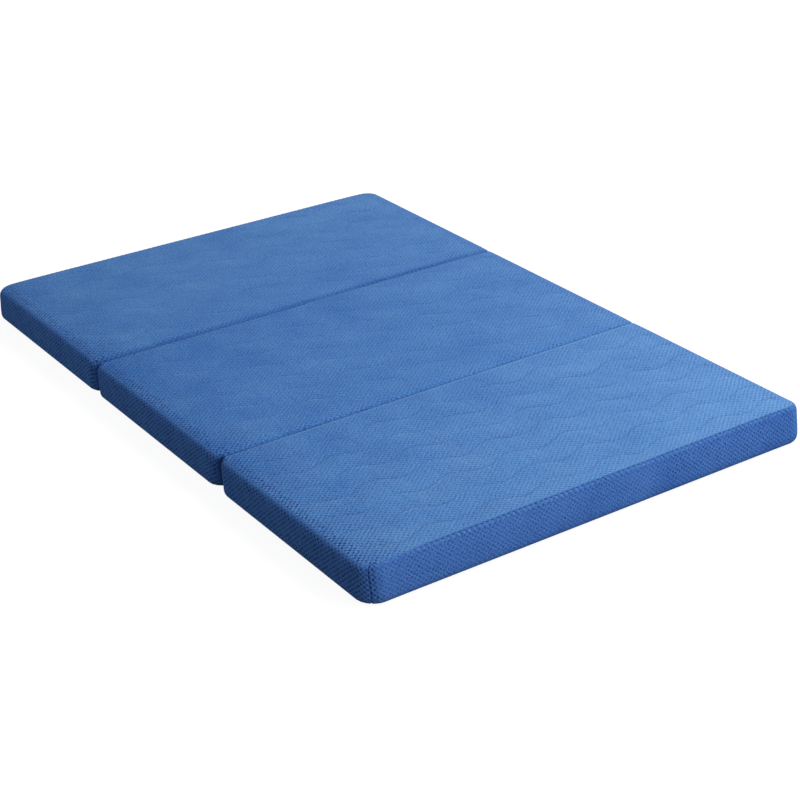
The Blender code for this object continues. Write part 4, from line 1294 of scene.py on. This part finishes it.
def foamMaterial():
    # Open-cell polyurethane foam, cut from a block: matt and full of pores, real ones 0.5 mm across, drawn
    # at 1.5 mm, and yellowed a little in patches by the light
    material, tree, shader = newMaterial("open-cell polyurethane foam", {
        "Roughness": 0.95, "Specular IOR Level": 0.2, "Subsurface Weight": 0.0})
    place = addNode(tree, "TexCoord")
    pores = addNode(tree, "TexVoronoi", {"Vector": place.outputs["Object"], "Scale": 1 / 0.0015})
    depth = addNode(tree, "MapRange", {"Value": pores, "From Min": 0.1, "From Max": 0.6})
    patches = addNode(tree, "TexNoise", {"Vector": place.outputs["Object"], "Scale": 1 / 0.08,
                                         "Detail": 3.0})
    amount = addNode(tree, "Math", {0: depth, 1: patches}, operation="MULTIPLY")
    colour = addNode(tree, "Mix", {0: amount, 6: linear(foam["shade"]), 7: linear(foam["colour"])},
                     data_type="RGBA")
    bump = addNode(tree, "Bump", {"Height": depth, "Strength": 0.4, "Distance": 0.4 * mm})
    setInputs(tree, shader, {"Base Color": colour, "Normal": bump})
    return material


def addFoam(panel, material):
    levels = []
    for inset, height in foam["levels"]:
        ends = []
        for kind in panel["ends"]:
            end = min(inset, foam["lowerHingeInset"]) if kind == "lowerHinge" else inset
            ends.append(end * mm + edgeKinds[kind]["lean"] * height * mm / edgeHeight)
        levels.append((inset * mm, ends, height * mm))
    points, faces, _ = plate(panel, foam["cell"], levels)
    points[:, 1] += panel["middle"]
    name = panel["name"]
    piece = addPiece(name + "_foam_block", material, points, faces, body=panel["body"],
                     replaced=[name + "_foam_core"])


# Hinge fabrics: a strip sewn into the top seams of foot and middle, and one into the lower seams of
# middle and head. Flat, each sags into its slit.

hinge = {
    "thickness": 0.5 * mm,
    "step": 4 * mm,
    "ripple": 0.15 * mm,
    "ripplePitch": 11 * mm,
    "foot": {"half": 2.9 * mm, "height": edgeHeight - 1.6 * mm, "sag": -1.2 * mm, "clear": 14 * mm},
    "head": {"half": 6.4 * mm, "height": 0.75 * mm, "sag": 2.0 * mm, "clear": 16 * mm},
}


def addHinge(name, replaced, material):
    # Across the slit the strip follows y = half * cos(t) and z = height + sag * sin(t)^2, t from 0 to 180
    size = hinge[name]
    joint = next(joint for joint in frame["joints"] if joint["name"] == name + "_fold")
    axisY = joint["pos_m"][1]
    t = np.linspace(0, np.pi, 17)
    middleLine = np.stack([size["half"] * np.cos(t), size["height"] + size["sag"] * np.sin(t) ** 2], -1)
    slope = np.gradient(middleLine, axis=0)
    across = np.stack([-slope[:, 1], slope[:, 0]], -1)
    across /= np.linalg.norm(across, axis=1, keepdims=True)
    loop = np.concatenate([middleLine + across * hinge["thickness"] / 2,
                           (middleLine - across * hinge["thickness"] / 2)[::-1]])
    reach = panels["middle"]["halfWidth"] - size["clear"]
    x = np.linspace(-reach, reach, 1 + round(2 * reach / hinge["step"]))
    walked = np.concatenate([[0], np.cumsum(np.linalg.norm(np.diff(middleLine, axis=0), axis=1))]) / mm
    walked = np.concatenate([walked, walked[::-1]])
    ripple = hinge["ripple"] * np.outer(np.sin(2 * np.pi * x / hinge["ripplePitch"]), np.tile(np.sin(t), 2))
    lift = creaseLift(panels["foot"], x, True)[:, None] * (name == "foot")
    points = np.stack(np.broadcast_arrays(x[:, None], loop[:, 0] + axisY, loop[:, 1] + ripple + lift), -1)
    index = np.arange(len(x) * len(loop)).reshape(len(x), len(loop))
    closed = np.concatenate([index, index[:, :1]], 1)
    uv = np.stack(np.broadcast_arrays(x[:, None] / mm, walked), -1)
    piece = addPiece(name + "_hinge_fabric", material, points.reshape(-1, 3),
                     [gridFaces(closed), index[0][::-1][None, :], index[-1][None, :]], uv.reshape(-1, 2),
                     replaced=[replaced])
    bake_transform(piece)


# Zips: a coil zip on the right side of each cover

zips = {
    "toothPitch": 1.4 * mm,
    "toothLength": 2.5 * mm,
    "toothWidth": 0.95 * mm,
    "toothStep": 0.55 * mm,  # each tooth lies this far to one side of the middle, turn about
    "toothSag": 0.25 * mm,
    "stitchAside": 2.6 * mm,  # from the edge of the band's opening to the stitches
    "stitchProud": 0.25 * mm,
    "height": 23 * mm,  # of the tape's middle line
    "rib": 1 * mm,
    "coil": "#22375F",
    "coilLight": "#3B5687",
    "tape": "#13244A",
    "tapeLight": "#2A4478",
    "enamel": "#22345A",
    "wearAndPaintedHighlight": "#8C8F94",
}


def addCoil(panel, material):
    # One short tooth of monofilament in every pitch, turn about above and below the middle line
    low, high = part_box(panel["name"] + "_zip_teeth")
    y = np.arange(low.y + zips["toothPitch"] / 2, high.y, zips["toothPitch"])
    turn = np.where(np.arange(len(y)) % 2 == 0, 1, -1)
    z = (low.z + high.z) / 2 + turn * zips["toothStep"]
    centres = np.stack([np.full(len(y), (low.x + high.x) / 2), y, z], -1)
    along = np.tile([0.0, 0.0, 1.0], (len(y), 1))
    up = np.tile([1.0, 0.0, 0.0], (len(y), 1))
    points, faces = capsules(centres, along, up, zips["toothLength"], zips["toothWidth"], high.x - low.x,
                             zips["toothSag"])
    addPiece(panel["name"] + "_zip_coil", material, points, faces, body=panel["body"],
             replaced=[panel["name"] + "_zip_teeth"])


def addZipStitching(panel, material):
    # Two lines of stitches, one above and one below the tape
    low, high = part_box(panel["name"] + "_zip_tape")
    y = np.arange(low.y, high.y + thread["seam"]["pitch"], thread["seam"]["pitch"])
    lines = []
    for side in (-1, 1):
        z = (low.z + high.z) / 2 + side * (band["slotHalf"] + zips["stitchAside"])
        x = panel["halfWidth"] + zips["stitchProud"]
        lines.append((np.stack([x + 0 * y, y, z + 0 * y], -1), np.tile([1.0, 0.0, 0.0], (len(y), 1))))
    addStitches(panel["name"] + "_zip_stitching", panel, material, "seam", lines)


def coilMaterial():
    # Dyed nylon monofilament, heat-set: smooth with a soft gloss
    material, tree, shader = newMaterial("nylon monofilament coil", {"Roughness": 0.38, "IOR": 1.53})
    place = addNode(tree, "TexCoord")
    toneAndPaintedLight = addNode(tree, "TexNoise", {"Vector": place.outputs["Object"], "Scale": 1 / 0.004, "Detail": 2.0})
    colour = addNode(tree, "Mix", {0: toneAndPaintedLight, 6: linear(zips["coil"]), 7: linear(zips["coilLight"])},
                     data_type="RGBA")
    setInputs(tree, shader, {"Base Color": colour})
    return material


def tapeMaterial():
    # Woven polyester tape: herringbone ribs, which change their slant at the middle line
    material, tree, shader = newMaterial("woven polyester zip tape", {
        "Roughness": 0.8, "Sheen Weight": 0.2, "Specular IOR Level": 0.3})
    place = addNode(tree, "TexCoord")
    axes = addNode(tree, "SeparateXYZ", {0: place.outputs["Object"]})
    fromMiddle = addNode(tree, "Math", {0: axes.outputs["Z"], 1: zips["height"]}, operation="SUBTRACT")
    folded = addNode(tree, "Math", {0: fromMiddle}, operation="ABSOLUTE")
    slant = addNode(tree, "Math", {0: folded, 1: axes.outputs["Y"]}, operation="ADD")
    ribs = addNode(tree, "Math", {0: slant, 1: 2 * math.pi / zips["rib"]}, operation="MULTIPLY")
    wave = addNode(tree, "Math", {0: ribs}, operation="SINE")
    shade = addNode(tree, "MapRange", {"Value": wave, "From Min": -1.0, "From Max": 1.0})
    colour = addNode(tree, "Mix", {0: shade, 6: linear(zips["tape"]), 7: linear(zips["tapeLight"])},
                     data_type="RGBA")
    bump = addNode(tree, "Bump", {"Height": wave, "Strength": 0.4, "Distance": 0.1 * mm})
    setInputs(tree, shader, {"Base Color": colour, "Normal": bump})
    return material


def enamelMaterial():
    # Die-cast zinc under baked enamel: glossy, a little uneven, rubbed through to the metal in small spots
    material, tree, shader = newMaterial("enamelled die-cast zinc", {
        "Coat Weight": 0.3, "Coat Roughness": 0.15})
    place = addNode(tree, "TexCoord")
    rub = addNode(tree, "TexNoise", {"Vector": place.outputs["Object"], "Scale": 1 / 0.002, "Detail": 4.0})
    wearAndPaintedHighlight = addNode(tree, "MapRange", {"Value": rub, "From Min": 0.66, "From Max": 0.74},
                   interpolation_type="SMOOTHSTEP")
    colour = addNode(tree, "Mix", {0: wearAndPaintedHighlight, 6: linear(zips["enamel"]), 7: linear(zips["wearAndPaintedHighlight"])},
                     data_type="RGBA")
    rough = addNode(tree, "Math", {0: rub, 1: 0.25, 2: 0.25}, operation="MULTIPLY_ADD")
    setInputs(tree, shader, {"Base Color": colour, "Metallic": wearAndPaintedHighlight, "Roughness": rough})
    return material


def dress(node, material):
    # A CAD solid that keeps its shape gets its finish
    part = bpy.data.objects[node]
    part.data.materials.clear()
    part.data.materials.append(material)


# Build

addCamera()
addFloor()
addSky()
addLamps()
print("stage ready")

topKnit = knitMaterial("blue polyester air-mesh knit, quilted",
                       knit["across"], knit["along"], knit["topYarns"])
bandKnit = knitMaterial("blue polyester spacer mesh, boxing",
                        knit["bandAcross"], knit["bandAlong"], knit["bandYarns"])
threads = threadMaterial()
undersideCloth = woven("navy woven polyester, underside", "#243E78", "#1D3365", "#0E1A38", 1.3, 0, 0.85, 0.04)
hingeCloth = woven("blue polyester twill, hinge strip", "#3563A8", "#2A5090", "#14284E", 1.1, 1, 0.85, 0.2)
foamCells = foamMaterial()
coil, tape, enamel = coilMaterial(), tapeMaterial(), enamelMaterial()
for panel in panels.values():
    puffed = puffs(panel)
    addTop(panel, puffed, topKnit)
    addQuiltingThread(panel, puffed, threads)
    addBand(panel, bandKnit)
    print(panel["name"], "cover ready")
    addUnderside(panel, undersideCloth)
    addFoam(panel, foamCells)
    addCoil(panel, coil)
    addZipStitching(panel, threads)
    dress(panel["name"] + "_zip_tape", tape)
    dress(panel["name"] + "_zip_slider", enamel)
    dress(panel["name"] + "_zip_pull", enamel)
addHinge("foot", "upper_hinge_strip", hingeCloth)
addHinge("head", "lower_hinge_strip", hingeCloth)
print("hinges and zips ready")
